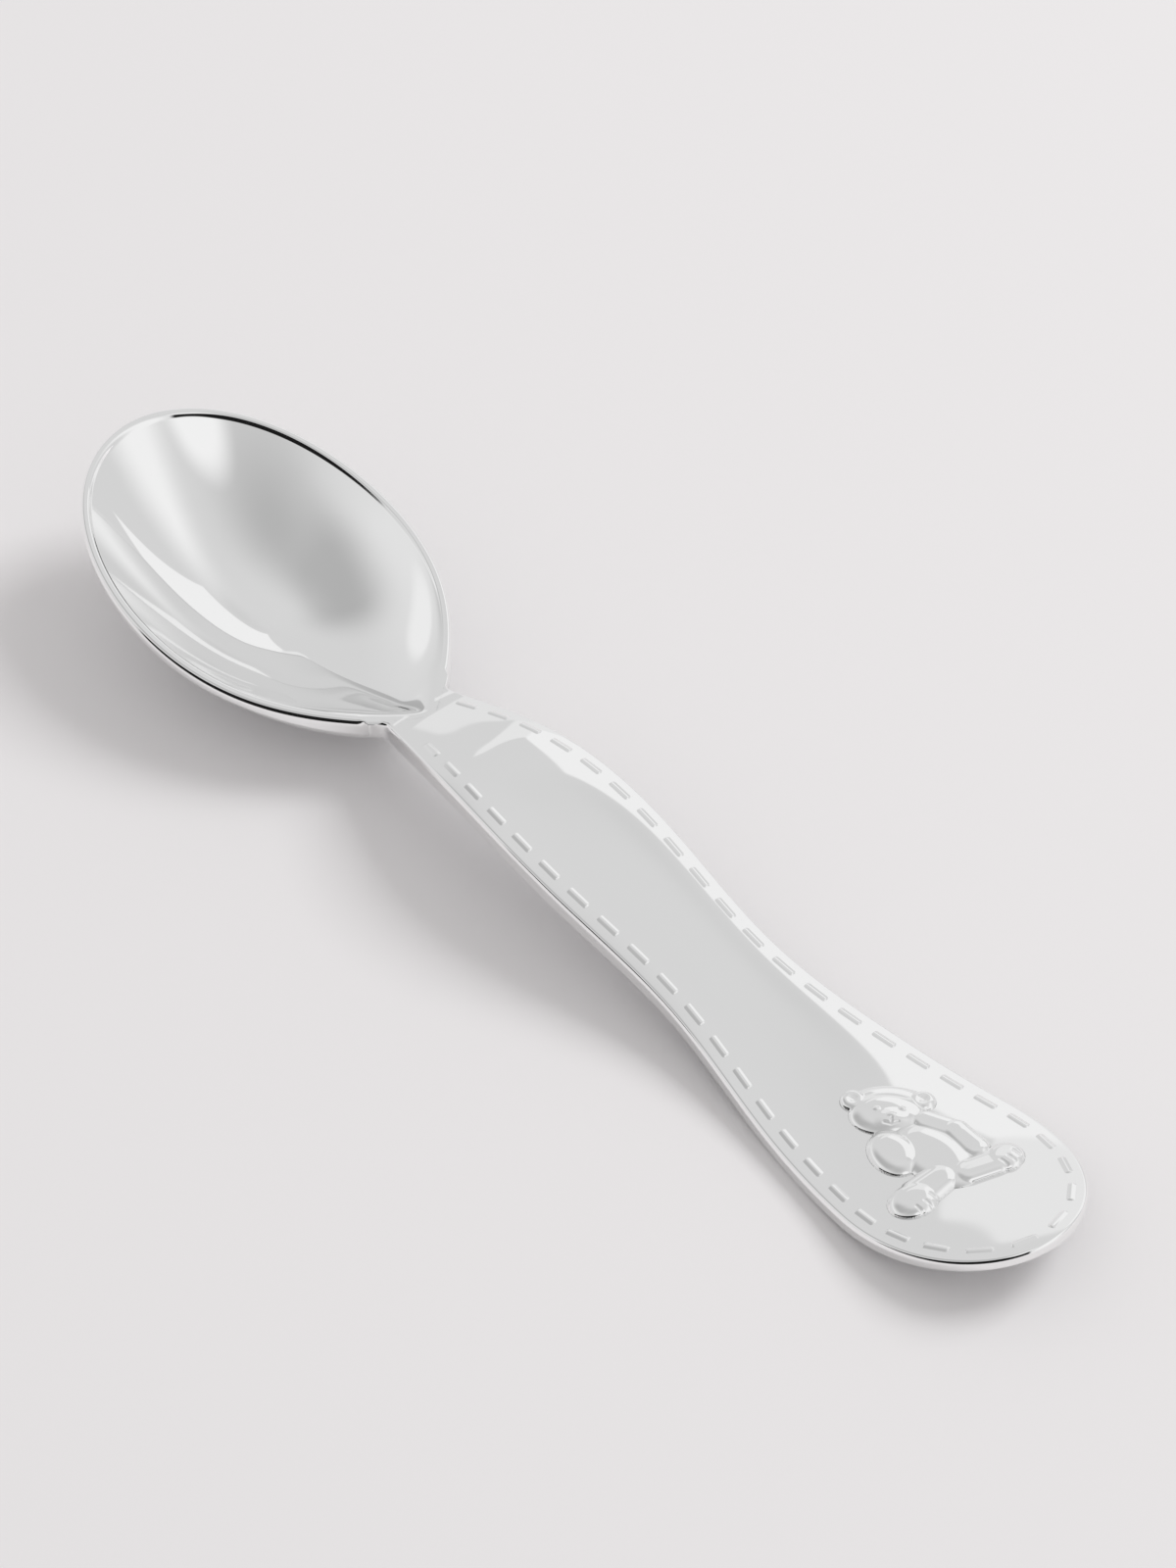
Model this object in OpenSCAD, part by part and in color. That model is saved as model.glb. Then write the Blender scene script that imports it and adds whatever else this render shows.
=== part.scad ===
// Child's spoon: an egg shaped bowl, a handle with a stitched border, and a small bear on its end.
// X runs along the spoon from the tip of the bowl to the end of the handle, Z is up.
// The origin lies on the table, under the middle of the spoon.

/* [Whole spoon] */
// Length from the tip of the bowl to the end of the handle
spoon_l = 145; // [130:1:175]
// Length of the bowl from its tip to the corners at the neck
bowl_l = 48.7; // [42:0.1:56]

/* [Bowl] */
// Width of the bowl at its widest
bowl_w = 32.9; // [26:0.1:40]
// Depth of the hollow below the rim beside it
bowl_depth = 9.56; // [6:0.1:11]
// Thickness of the bowl at its deepest place
bowl_wall = 1.1; // [0.7:0.05:1.6]
// Width of the flat land along the rim
rim_land = 0.9; // [0.5:0.05:1.4]
// Height of the upright edge below the rim
rim_edge = 0.7; // [0.4:0.05:1.1]
// Height of the rim above the table at the tip
rim_tip_h = 15.6; // [13:0.1:19]
// Height of the rim above the table halfway along the bowl
rim_middle_h = 10.5; // [9.5:0.1:14]
// Height of the rim above the table at the neck
rim_neck_h = 7.5; // [6.5:0.1:11]
// How far the round end of the bowl sits inside the neck
nose_l = 2.8; // [1.8:0.1:4]

/* [Handle outline] */
// Width at the neck
neck_w = 8.2; // [6:0.1:11]
// Width one sixth of the way along the handle
arm_w = 14.4; // [10:0.1:18]
// Width two sixths of the way along, where the arm is fullest
full_w = 15.7; // [11:0.1:19]
// Width halfway along, at the waist
waist_w = 13.5; // [9:0.1:17]
// Width four sixths of the way along
palm_w = 18.9; // [14:0.1:23]
// Width five sixths of the way along, at the broad end
paddle_w = 22.9; // [17:0.1:27]
// Width that the sides would reach at the tip if it were not rounded
flare_w = 25.8; // [20:0.1:30]
// Length of the rounded end
round_l = 18.5; // [12:0.1:24]

/* [Handle profile] */
// Height of the top edge one sixth of the way along, at the hump
arm_h = 10.35; // [8.5:0.05:14]
// Height of the top edge two sixths of the way along
full_h = 8.25; // [6:0.05:11]
// Height of the top edge halfway along
waist_h = 4.65; // [3.5:0.05:8]
// Height of the top edge four sixths of the way along
palm_h = 2; // [1.9:0.05:4]
// Height of the top edge five sixths of the way along
paddle_h = 2.45; // [1.9:0.05:4]
// Height of the top edge at the turned up end
end_h = 6.6; // [3:0.1:9]
// Thickness of the edge at the neck
neck_t = 2.4; // [1.6:0.05:3]
// Thickness of the edge at the end
end_t = 1.5; // [1:0.05:2]
// Rise of the middle of the top face above its edges
crown = 0.6; // [0.2:0.05:1]
// Rounding of the top and bottom edges
edge_round = 0.35; // [0.1:0.01:0.5]

/* [Heel under the bowl] */
// Length of the tongue that laps the back of the bowl
heel_l = 9; // [6:0.1:12]
// Thickness of the tongue at the neck
heel_t = 1; // [0.6:0.05:1.4]
// Thickness of the tongue at its point
heel_tip_t = 0.35; // [0.2:0.05:0.6]

/* [Stitched border] */
// Length of one raised stitch
stitch_l = 3; // [2:0.1:4]
// Width of one stitch where it leaves the face
stitch_w = 0.85; // [0.6:0.05:1.2]
// Height of one stitch above the face
stitch_h = 0.25; // [0.15:0.05:0.5]
// Distance from the edge of the handle to the middle of the stitches
stitch_inset = 1.65; // [1.2:0.05:2.5]
// Number of stitches all round
stitch_count = 45; // [30:1:60]
// Distance from the bowl's near corner to the first stitch
stitch_near_start = 6.1; // [2.5:0.1:8]
// Distance from the bowl's far corner to the last stitch
stitch_far_start = 2.7; // [2.5:0.1:8]

/* [Bear] */
// Length of the bear from its upper ear to its feet
bear_l = 20; // [15:0.5:24]
// Distance from the middle of the bear to the end of the handle
bear_to_end = 19.4; // [16:0.1:26]
// Height of the bear's relief above the face
bear_h = 1.15; // [0.6:0.05:1.6]

/* [Hidden] */

// The outline of the bowl and the shape of its hollow
egg_l = bowl_l + nose_l;
egg_lean_share = 0.0657;
egg_draw_share = 0.617;
egg_power = 7;
hollow_place_share = 0.44;
hollow_x = egg_l * hollow_place_share;
side_power = 2.4;
side_fade = 1;
neck_power = 1.4;
neck_fade = 1.15;
neckward_power = 2;
back_turn_share = 0.62;
bowl_turns = 72;
hollow_shares = [1, 0.97, 0.93, 0.87, 0.8, 0.72, 0.63, 0.53, 0.42, 0.3, 0.17];
outside_shares = [0.15, 0.3, 0.44, 0.57, 0.68, 0.78, 0.86, 0.93, 0.98, 1];

// The stations of the handle
handle_l = spoon_l - bowl_l;
widths = [neck_w, arm_w, full_w, waist_w, palm_w, paddle_w, flare_w];
heights = [rim_neck_h, arm_h, full_h, waist_h, palm_h, paddle_h, end_h];
top_shares = [-1, -0.88, -0.7, -0.4, 0, 0.4, 0.7, 0.88, 1];
under_shares = [1, 0.6, 0, -0.6, -1];
crown_power = 3.2;
side_steps = 34;
end_steps = 11;
end_sweep = 87.5;
heel_steps = 8;
heel_blend = 1;
crown_fade_l = 14;
overrun = 6;

// How deep the bear's forms sit in the handle, before the face cuts them off
bear_sink_share = 0.28;

// A smooth step from 0 to 1
function ease(u) = let (v = max(0, min(1, u))) v * v * (3 - 2 * v);

// The lower of two heights, with a rounded change over the blend
function lower(a, b, blend) = min(a, b) - pow(max(blend - abs(a - b), 0), 2) / (4 * blend);

// A value past the ends of a list goes on in a straight line
function past(v, i) =
    i < 0 ? 2 * v[0] - v[-i] :
    i >= len(v) ? 2 * v[len(v) - 1] - v[2 * len(v) - 2 - i] : v[i];

// Control values that make a cubic curve run through a list of evenly spaced values
function control(v, i) = (8 * past(v, i) - past(v, i - 1) - past(v, i + 1)) / 6;

// A smooth cubic curve through evenly spaced values, u from 0 to 1
function along(v, u) =
    let (
        p = max(0, min(1, u)) * (len(v) - 1),
        i = min(floor(p), len(v) - 2),
        f = p - i,
        a = control(v, i - 1),
        b = control(v, i),
        c = control(v, i + 1),
        d = control(v, i + 2)
    )
    (pow(1 - f, 3) * a + (3 * pow(f, 3) - 6 * f * f + 4) * b
        + (3 * (f + f * f - pow(f, 3)) + 1) * c + pow(f, 3) * d) / 6;

// Outline of the bowl: a point for each turn, from the tip (0) by the far side to the nose (180)
function egg_half(t) =
    bowl_w / 2 * sin(t)
    * (1 + egg_lean_share * cos(t) - egg_draw_share * pow((1 - cos(t)) / 2, egg_power));
function egg_point(t) = [egg_l * (1 - cos(t)) / 2, egg_half(t)];

// Height of the rim, which follows the handle's top edge past the neck
function rim_curve(u) =
    rim_tip_h * (1 - u) * (1 - 2 * u) + 4 * rim_middle_h * u * (1 - u) + rim_neck_h * u * (2 * u - 1);
function edge_h(s) = along(heights, (s - bowl_l) / handle_l);
function rim_h(s) = s < bowl_l ? rim_curve(s / bowl_l) : edge_h(s);

// Share of the full depth at a distance share r from the deepest place, fading out at the neck
function neckward(t) = pow((1 - cos(t)) / 2, neckward_power);
function hollow_power(t) = side_power + (neck_power - side_power) * neckward(t);
function hollow_fade(t) = side_fade + (neck_fade - side_fade) * neckward(t);
function hollow(r, t) = pow(max(0, 1 - pow(r, hollow_power(t))), hollow_fade(t));

// Half width of the handle, with its rounded end
function round_u(s) = max(0, (s - (spoon_l - round_l)) / round_l);
function handle_half(s) =
    along(widths, (s - bowl_l) / handle_l) / 2 * sqrt(max(0, 1 - pow(round_u(s), 2)));
function tongue_half(s) = neck_w / 2 * sqrt(max(0, 1 - pow((bowl_l - s) / heel_l, 2)));
function half_at(s) = s < bowl_l ? tongue_half(s) : handle_half(s);

// Top face: nearly flat in the middle and falling off towards its edges
function crown_at(s) = crown * ease((s - bowl_l) / crown_fade_l) * min(1, 2 * (1 - round_u(s)) + 0.5);
function face_h(s, v) = rim_h(s) + crown_at(s) * (1 - pow(abs(v), crown_power));
function face_at(s, y) = face_h(s, max(-1, min(1, y / max(handle_half(s), edge_round))));

// Underside, which turns into a tongue along the back of the bowl
function edge_t(s) = neck_t + (end_t - neck_t) * max(0, (s - bowl_l) / handle_l);
function out_ratio(s, y, t) = norm([s - hollow_x, y]) / norm(egg_point(t) - [hollow_x, 0]);
function turn_of(s, y) = 180 - atan(abs(y) / max(s - hollow_x, edge_round)) * back_turn_share;
function back_h(s, y) =
    let (t = turn_of(s, y), r = min(1, out_ratio(s, y, t)))
    rim_h(s) - rim_edge - (bowl_depth + bowl_wall - rim_edge) * hollow(r, t);
function tongue_t(s) = heel_tip_t + (heel_t - heel_tip_t) * ease((s - bowl_l + heel_l) / heel_l);
function plain_under(s) = (s < bowl_l ? rim_neck_h : rim_h(s)) - edge_t(s);
function under_h(s, y) =
    s > egg_l ? plain_under(s) : lower(plain_under(s), back_h(s, y) - tongue_t(s), heel_blend);

// Closed strip of rings: each ring is a list of as many points
module loft(rings) {
    n = len(rings[0]);
    m = len(rings);
    points = [for (ring = rings) each ring];
    sides = [
        for (i = [0:m - 2], j = [0:n - 1])
            let (a = i * n + j, b = i * n + (j + 1) % n)
                each [[a, b, a + n], [b, b + n, a + n]]
    ];
    first_cap = [for (j = [1:n - 2]) [0, j + 1, j]];
    last_cap = [for (j = [1:n - 2]) [(m - 1) * n, (m - 1) * n + j, (m - 1) * n + j + 1]];
    polyhedron(points, concat(sides, first_cap, last_cap));
}

// Closed form of rings between two poles
module turned(first_pole, rings, last_pole) {
    n = len(rings[0]);
    m = len(rings);
    points = concat([first_pole], [for (ring = rings) each ring], [last_pole]);
    sides = [
        for (i = [0:m - 2], j = [0:n - 1])
            let (a = 1 + i * n + j, b = 1 + i * n + (j + 1) % n)
                each [[a, b, a + n], [b, b + n, a + n]]
    ];
    first_cap = [for (j = [0:n - 1]) [0, 1 + (j + 1) % n, 1 + j]];
    last_cap = [for (j = [0:n - 1]) [m * n + 1, 1 + (m - 1) * n + j, 1 + (m - 1) * n + (j + 1) % n]];
    polyhedron(points, concat(sides, first_cap, last_cap));
}

// A point on a ray from the deepest place of the bowl to its outline, at the share r of that ray
function ray_point(t, r, inset) =
    let (ray = egg_point(t) - [hollow_x, 0], reach = norm(ray))
    [hollow_x, 0] + ray * r * (reach - inset) / reach;
function placed(p, h) = [p[0] - spoon_l / 2, p[1], h];
turns = [for (i = [0:bowl_turns - 1]) i * 360 / bowl_turns];

// The back of the bowl, from its lowest ring up to the rim
function back_ring(r) = [
    for (t = turns)
        let (p = ray_point(t, r, 0))
            placed(p, rim_h(p[0]) - rim_edge - (bowl_depth + bowl_wall - rim_edge) * hollow(r, t))
];
function edge_ring(inset, rise) = [
    for (t = turns)
        let (p = ray_point(t, 1, inset))
            placed(p, rim_h(p[0]) + rise)
];
function inner_ring(r) = [
    for (t = turns)
        let (p = ray_point(t, r, rim_land))
            placed(p, rim_h(p[0]) - bowl_depth * hollow(r, t))
];
back_rings = [for (r = outside_shares) back_ring(r)];
back_pole = placed([hollow_x, 0], rim_h(hollow_x) - bowl_depth - bowl_wall);
inner_pole = placed([hollow_x, 0], rim_h(hollow_x) - bowl_depth);

module bowl() {
    color("gainsboro")
        turned(
            back_pole,
            concat(
                back_rings,
                [edge_ring(0, -edge_round), edge_ring(edge_round, 0)],
                [for (r = hollow_shares) inner_ring(r)]
            ),
            inner_pole
        );
}

// The space that the bowl fills, with all that is above it
module bowl_seat() {
    turned(
        back_pole,
        concat(back_rings, [edge_ring(0, -edge_round), edge_ring(edge_round, 0), edge_ring(edge_round, overrun)]),
        placed([hollow_x, 0], rim_tip_h + overrun)
    );
}

// One cross section of the handle, round its top face and back along its underside
function section(s) =
    let (w = half_at(s), e = min(edge_round, w / 4))
    concat(
        [placed([s, -w], face_h(s, 1) - e)],
        [for (v = top_shares) placed([s, v * (w - e)], face_h(s, v))],
        [placed([s, w], face_h(s, 1) - e)],
        [placed([s, w], under_h(s, w) + e)],
        [for (v = under_shares) placed([s, v * (w - e)], under_h(s, v * (w - e)))],
        [placed([s, -w], under_h(s, w) + e)]
    );
heel_stations = [for (i = [1:heel_steps]) bowl_l - heel_l * cos(i * 90 / heel_steps)];
side_stations = [for (i = [1:side_steps - 1]) bowl_l + (handle_l - round_l) * i / side_steps];
end_stations = [for (i = [0:end_steps]) spoon_l - round_l + round_l * sin(i * end_sweep / end_steps)];
stations = concat(heel_stations, side_stations, end_stations);

module handle_blank() {
    difference() {
        loft([for (s = stations) section(s)]);
        bowl_seat();
    }
}

// The line of the stitches, from the near side of the neck round the end to the far side
function inset_point(s, side) =
    let (
        step = round_l / 200,
        slope = (handle_half(s + step) - handle_half(s - step)) / (2 * step),
        n = [-slope, 1] / norm([slope, 1])
    )
    [s - stitch_inset * n[0], side * (handle_half(s) - stitch_inset * n[1])];
track_steps = 60;
track_end = 88;
function side_track(start) =
    [for (i = [0:track_steps]) bowl_l + start + (handle_l - round_l - start) * i / track_steps];
end_track = [for (i = [1:track_steps]) spoon_l - round_l + round_l * sin(i * track_end / track_steps)];
near_track = [for (s = concat(side_track(stitch_near_start), end_track)) inset_point(s, -1)];
far_track = [for (s = concat(side_track(stitch_far_start), end_track)) inset_point(s, 1)];
track = concat(near_track, [for (i = [len(far_track) - 1:-1:0]) far_track[i]]);
function run_to(points, i, sum) =
    i >= len(points) ? [] :
    let (next = sum + (i == 0 ? 0 : norm(points[i] - points[i - 1]))) concat([next], run_to(points, i + 1, next));
track_runs = run_to(track, 0, 0);
track_l = track_runs[len(track_runs) - 1];
track_x = [for (i = [0:len(track) - 1]) [track_runs[i], track[i][0]]];
track_y = [for (i = [0:len(track) - 1]) [track_runs[i], track[i][1]]];
function track_point(run) = [lookup(run, track_x), lookup(run, track_y)];

// Round that shows the wanted width and height of a stitch above the face
stitch_r = (pow(stitch_w / 2, 2) + pow(stitch_h, 2)) / (2 * stitch_h);

module stitch_end(p) {
    translate(placed(p, face_at(p[0], p[1]) + stitch_h - stitch_r))
        sphere(r = stitch_r, $fn = 8);
}

module stitches() {
    pitch = (track_l - stitch_l) / (stitch_count - 1);
    reach = (stitch_l - stitch_w) / 2;
    for (i = [0:stitch_count - 1]) {
        run = stitch_l / 2 + i * pitch;
        hull() {
            stitch_end(track_point(run - reach));
            stitch_end(track_point(run + reach));
        }
    }
}

module handle() {
    color("silver") {
        handle_blank();
        stitches();
    }
}

// The bear's forms: along, across, half length and half width as shares of its length,
// height as a share of its relief, and turn in degrees
bear_shares = [
    [0.27, 0.046, 0.193, 0.138, 0.83, 48],
    [0.323, 0.107, 0.205, 0.115, 0.5, 48],
    [0.45, -0.018, 0.067, 0.067, 0.62, 0],
    [0.22, 0.236, 0.067, 0.067, 0.62, 0],
    [0.216, 0.02, 0.072, 0.058, 0.95, 48],
    [-0.095, 0.025, 0.28, 0.165, 0.72, -4],
    [0.04, -0.138, 0.16, 0.107, 0.78, -12],
    [0.035, 0.18, 0.14, 0.078, 0.74, 22],
    [-0.13, 0.2, 0.13, 0.085, 0.78, -7],
    [-0.233, -0.145, 0.103, 0.15, 0.72, 0],
    [-0.25, -0.265, 0.118, 0.133, 0.8, -12],
    [-0.318, 0.115, 0.088, 0.145, 0.7, -19],
    [-0.348, 0.24, 0.103, 0.105, 0.78, 0]
];
bear_x = spoon_l - bear_to_end;

module bear_form(share) {
    s = bear_x - share[0] * bear_l;
    y = share[1] * bear_l;
    step = bear_l / 20;
    slope = atan((face_at(s + step, y) - face_at(s - step, y)) / (2 * step));
    sink = bear_h * bear_sink_share;
    translate(placed([s, y], face_at(s, y) - sink))
        rotate([0, -slope, 0])
            rotate([0, 0, share[5]])
                scale([share[2] * bear_l, share[3] * bear_l, share[4] * bear_h + sink])
                    sphere(r = 1, $fn = 16);
}

module bear() {
    color("gainsboro")
        difference() {
            union()
                for (share = bear_shares)
                    bear_form(share);
            handle_blank();
        }
}

bowl();
handle();
bear();
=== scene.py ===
"""A child's spoon in polished silver, shown on a pale floor in soft daylight.

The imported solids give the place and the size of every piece. This script lays smooth metal
over them: a deep egg shaped bowl, a broad handle with a row of raised stitches along its
border, and a small seated bear in relief on the end of the handle.

All shapes are worked out in millimetres in the spoon's own frame. X runs from the tip of
the bowl to the end of the handle, Y points to the far side and Z is up.
"""

import logging
import math
from dataclasses import dataclass
from enum import Enum

import bpy
import numpy as np
from mathutils import Matrix, Vector
from numpy.typing import NDArray


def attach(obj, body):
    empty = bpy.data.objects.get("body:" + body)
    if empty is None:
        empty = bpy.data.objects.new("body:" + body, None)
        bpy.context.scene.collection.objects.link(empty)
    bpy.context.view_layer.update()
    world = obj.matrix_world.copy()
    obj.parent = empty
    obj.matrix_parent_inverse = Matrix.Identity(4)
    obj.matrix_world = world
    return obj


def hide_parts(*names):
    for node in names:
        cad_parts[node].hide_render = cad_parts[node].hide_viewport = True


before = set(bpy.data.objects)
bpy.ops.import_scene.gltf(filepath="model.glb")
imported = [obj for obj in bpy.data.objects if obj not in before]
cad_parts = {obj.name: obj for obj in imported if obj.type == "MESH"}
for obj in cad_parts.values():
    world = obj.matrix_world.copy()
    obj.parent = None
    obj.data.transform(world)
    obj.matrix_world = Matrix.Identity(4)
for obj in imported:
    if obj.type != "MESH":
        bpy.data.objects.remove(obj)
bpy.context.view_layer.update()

Array = NDArray[np.float64]
Numbers = NDArray[np.int64]
Place = tuple[float, float]
Triple = tuple[float, float, float]
Feed = bpy.types.NodeSocket | Vector | tuple[float, ...] | float
log = logging.getLogger("spoon")

BODY = "root"
MM = 0.001
# Keeps a number that is divided by away from zero
TINY = 1e-9
# Points that fall on one step of this grid, in steps to the millimetre, are one point
WELD_GRID = 1e5
# Share of the way over a worn edge, and its slope in degrees at each
WORN_WAY = (0.0, 0.12, 0.6, 1.0)
WORN_SLOPE = (90.0, 67.0, 58.0, 0.0)
# How far the underside of stitches and bear lies below the face, so that no gap is left
ROOT_DEPTH = 0.12
# Powers that flatten the top and round the shoulder of the bear's forms
DOME_FLATNESS = 4.4
DOME_ROUNDNESS = 0.8


class Slot(Enum):
    """The three named metals of the spoon."""

    BOWL = "bowl_metal"
    HANDLE = "handle_metal"
    BEAR = "bear_metal"


# ---------------------------------------------------------------------------
# Curves and small helpers on whole arrays
# ---------------------------------------------------------------------------


def ease(u: Array) -> Array:
    """Smooth step: 3u^2 - 2u^3 between 0 and 1, level outside."""
    v = np.clip(u, 0.0, 1.0)
    return v * v * (3.0 - 2.0 * v)


def lower_of(a: Array, b: Array, blend: Array | float) -> Array:
    """The lower of two heights, less (blend - |a - b|)^2 / (4 blend) where they come close."""
    soft = np.maximum(blend, TINY)
    return np.minimum(a, b) - np.maximum(soft - np.abs(a - b), 0.0) ** 2 / (4.0 * soft)


def higher_of(a: Array, b: Array, blend: Array | float) -> Array:
    """The higher of two heights with a rounded corner, as lower_of turned over."""
    return -lower_of(-a, -b, blend)


def bump(distance: Array, reach: float) -> Array:
    """Round bump (1 - (d / reach)^2)^2, nothing beyond its reach."""
    return np.clip(1.0 - (distance / reach) ** 2, 0.0, None) ** 2


def crowded(count: int, spread: float) -> Array:
    """Places from -1 to 1 that crowd towards both ends: sin(spread t) / sin(spread)."""
    return np.sin(np.linspace(-1.0, 1.0, count) * spread) / math.sin(spread)


def curve_through(values: tuple[float, ...], share: Array) -> Array:
    """Cubic curve through evenly spaced values, going on in a straight line before them.

    Each control value is (8 v - previous - next) / 6, and the curve is the uniform cubic
    spline of four neighbouring control values.

    Args:
        values: Values at even steps.
        share: Where along them, from 0 to 1.

    Returns:
        The value at each share.
    """
    v = np.asarray(values, dtype=float)
    wide = np.concatenate(
        [[2 * v[0] - v[2], 2 * v[0] - v[1]], v, [2 * v[-1] - v[-2], 2 * v[-1] - v[-3]]]
    )
    control = (8 * wide[1:-1] - wide[:-2] - wide[2:]) / 6
    last = len(v) - 1

    def inside(u: Array) -> Array:
        """The curve itself, level outside.

        Args:
            u: Shares of the way from the first value to the last.

        Returns:
            The value at each share.
        """
        p = np.clip(u, 0.0, 1.0) * last
        i = np.minimum(np.floor(p).astype(int), last - 1)
        f = p - i
        a, b, c, d = (control[i + k] for k in range(4))
        return (
            (1 - f) ** 3 * a
            + (3 * f**3 - 6 * f**2 + 4) * b
            + (3 * (f + f**2 - f**3) + 1) * c
            + f**3 * d
        ) / 6

    step = 1e-4
    start = (inside(np.array(step)) - inside(np.array(0.0))) / step
    return inside(share) + np.minimum(share, 0.0) * start


def worn_edge(count: int) -> tuple[Array, Array]:
    """Cross section of a worn edge, in equal steps from its upright outside to the flat top.

    The slope falls from 90 degrees to a bevel between 67 and 58 degrees, and then to 0. The
    inset is the running sum of its cosines, and the drop what is left of that of its sines.

    Args:
        count: Number of points.

    Returns:
        Inset from the outside and drop below the top, as shares of the length of the section.
    """
    slope = np.radians(np.interp(np.linspace(0.0, 1.0, count), WORN_WAY, WORN_SLOPE))
    middle = (slope[1:] + slope[:-1]) / 2
    inset = np.concatenate([[0.0], np.cumsum(np.cos(middle))]) / (count - 1)
    rise = np.concatenate([[0.0], np.cumsum(np.sin(middle))]) / (count - 1)
    return inset, rise[-1] - rise


# ---------------------------------------------------------------------------
# Meshes from arrays
# ---------------------------------------------------------------------------


def ring_faces(rings: int, points: int) -> Numbers:
    """Quads between rings of points, each ring closed on itself.

    Args:
        rings: Number of rings.
        points: Points of each ring.

    Returns:
        Four point numbers for each quad.
    """
    i, j = np.meshgrid(np.arange(rings - 1), np.arange(points), indexing="ij")
    a = (i * points + j).ravel()
    b = (i * points + (j + 1) % points).ravel()
    return np.stack([a, a + points, b + points, b], axis=1)


def fan_faces(pole: int, ring_start: int, points: int, before: bool) -> Numbers:
    """Triangles that close a ring to a single pole point.

    Args:
        pole: Number of the pole point.
        ring_start: Number of the ring's first point.
        points: Points of the ring.
        before: True for the pole before the first ring, False for the one past the last.

    Returns:
        Three point numbers for each triangle.
    """
    j = np.arange(points)
    a, b = ring_start + j, ring_start + (j + 1) % points
    poles = np.full(points, pole)
    return np.stack([poles, a, b] if before else [poles, b, a], axis=1)


def weld(
    points: Array, quads: Numbers, triangles: Numbers
) -> tuple[Array, Numbers, Numbers, Numbers]:
    """Makes one point of all points at the same place, and drops faces that shrink away.

    A quad that has lost one side becomes a triangle.

    Args:
        points: Points in millimetres.
        quads: Four point numbers for each quad.
        triangles: Three point numbers for each triangle.

    Returns:
        The points kept, the quads, the triangles, and the new number of each old point.
    """
    grid = np.round(points * WELD_GRID).astype(np.int64)
    _, first, number = np.unique(grid, axis=0, return_index=True, return_inverse=True)
    number = number.ravel()
    q, t = number[quads], number[triangles]
    same = q == np.roll(q, -1, axis=1)
    whole = ~same.any(axis=1)
    halved = same.sum(axis=1) == 1
    keep = np.arange(4)[None, :] != np.argmax(same[halved], axis=1)[:, None]
    t = np.concatenate([t, q[halved][keep].reshape(-1, 3)])
    t = t[~(t == np.roll(t, -1, axis=1)).any(axis=1)]
    return points[first], q[whole], t, number


def make_piece(
    name: str,
    points: Array,
    quads: Numbers,
    triangles: Numbers | None = None,
    painted_recess_shade: Array | None = None,
) -> bpy.types.Object:
    """Puts a finished array of points and faces into a smooth shaded object at the origin.

    Args:
        name: Name of the piece.
        points: Points in millimetres, one row each.
        quads: Four point numbers for each quad.
        triangles: Three point numbers for each triangle, if there are any.
        painted_recess_shade: How deep in a recess each point lies, from 0 to 1, which the finish
            darkens as painted shade.

    Returns:
        The new object, linked to the scene.
    """
    triangles = np.zeros((0, 3), dtype=int) if triangles is None else triangles
    mesh = bpy.data.meshes.new(name)
    mesh.vertices.add(len(points))
    mesh.vertices.foreach_set("co", (points * MM).astype(np.float32).ravel())
    corners = np.concatenate([quads.ravel(), triangles.ravel()]).astype(np.int32)
    sizes = np.concatenate([np.full(len(quads), 4), np.full(len(triangles), 3)])
    starts = np.concatenate([[0], np.cumsum(sizes)[:-1]]).astype(np.int32)
    mesh.loops.add(len(corners))
    mesh.loops.foreach_set("vertex_index", corners)
    mesh.polygons.add(len(sizes))
    mesh.polygons.foreach_set("loop_start", starts)
    mesh.polygons.foreach_set("use_smooth", np.ones(len(sizes), dtype=bool))
    mesh.update(calc_edges=True)
    mesh.validate()
    # The recess attribute tells the finish how much painted shade each point gets
    layer = mesh.attributes.new("painted_recess_shade", "FLOAT", "POINT")
    depth = np.zeros(len(points)) if painted_recess_shade is None else painted_recess_shade
    layer.data.foreach_set("value", depth.astype(np.float32))
    piece = bpy.data.objects.new(name, mesh)
    bpy.context.scene.collection.objects.link(piece)
    return piece


# ---------------------------------------------------------------------------
# The form of the spoon
# ---------------------------------------------------------------------------


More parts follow.
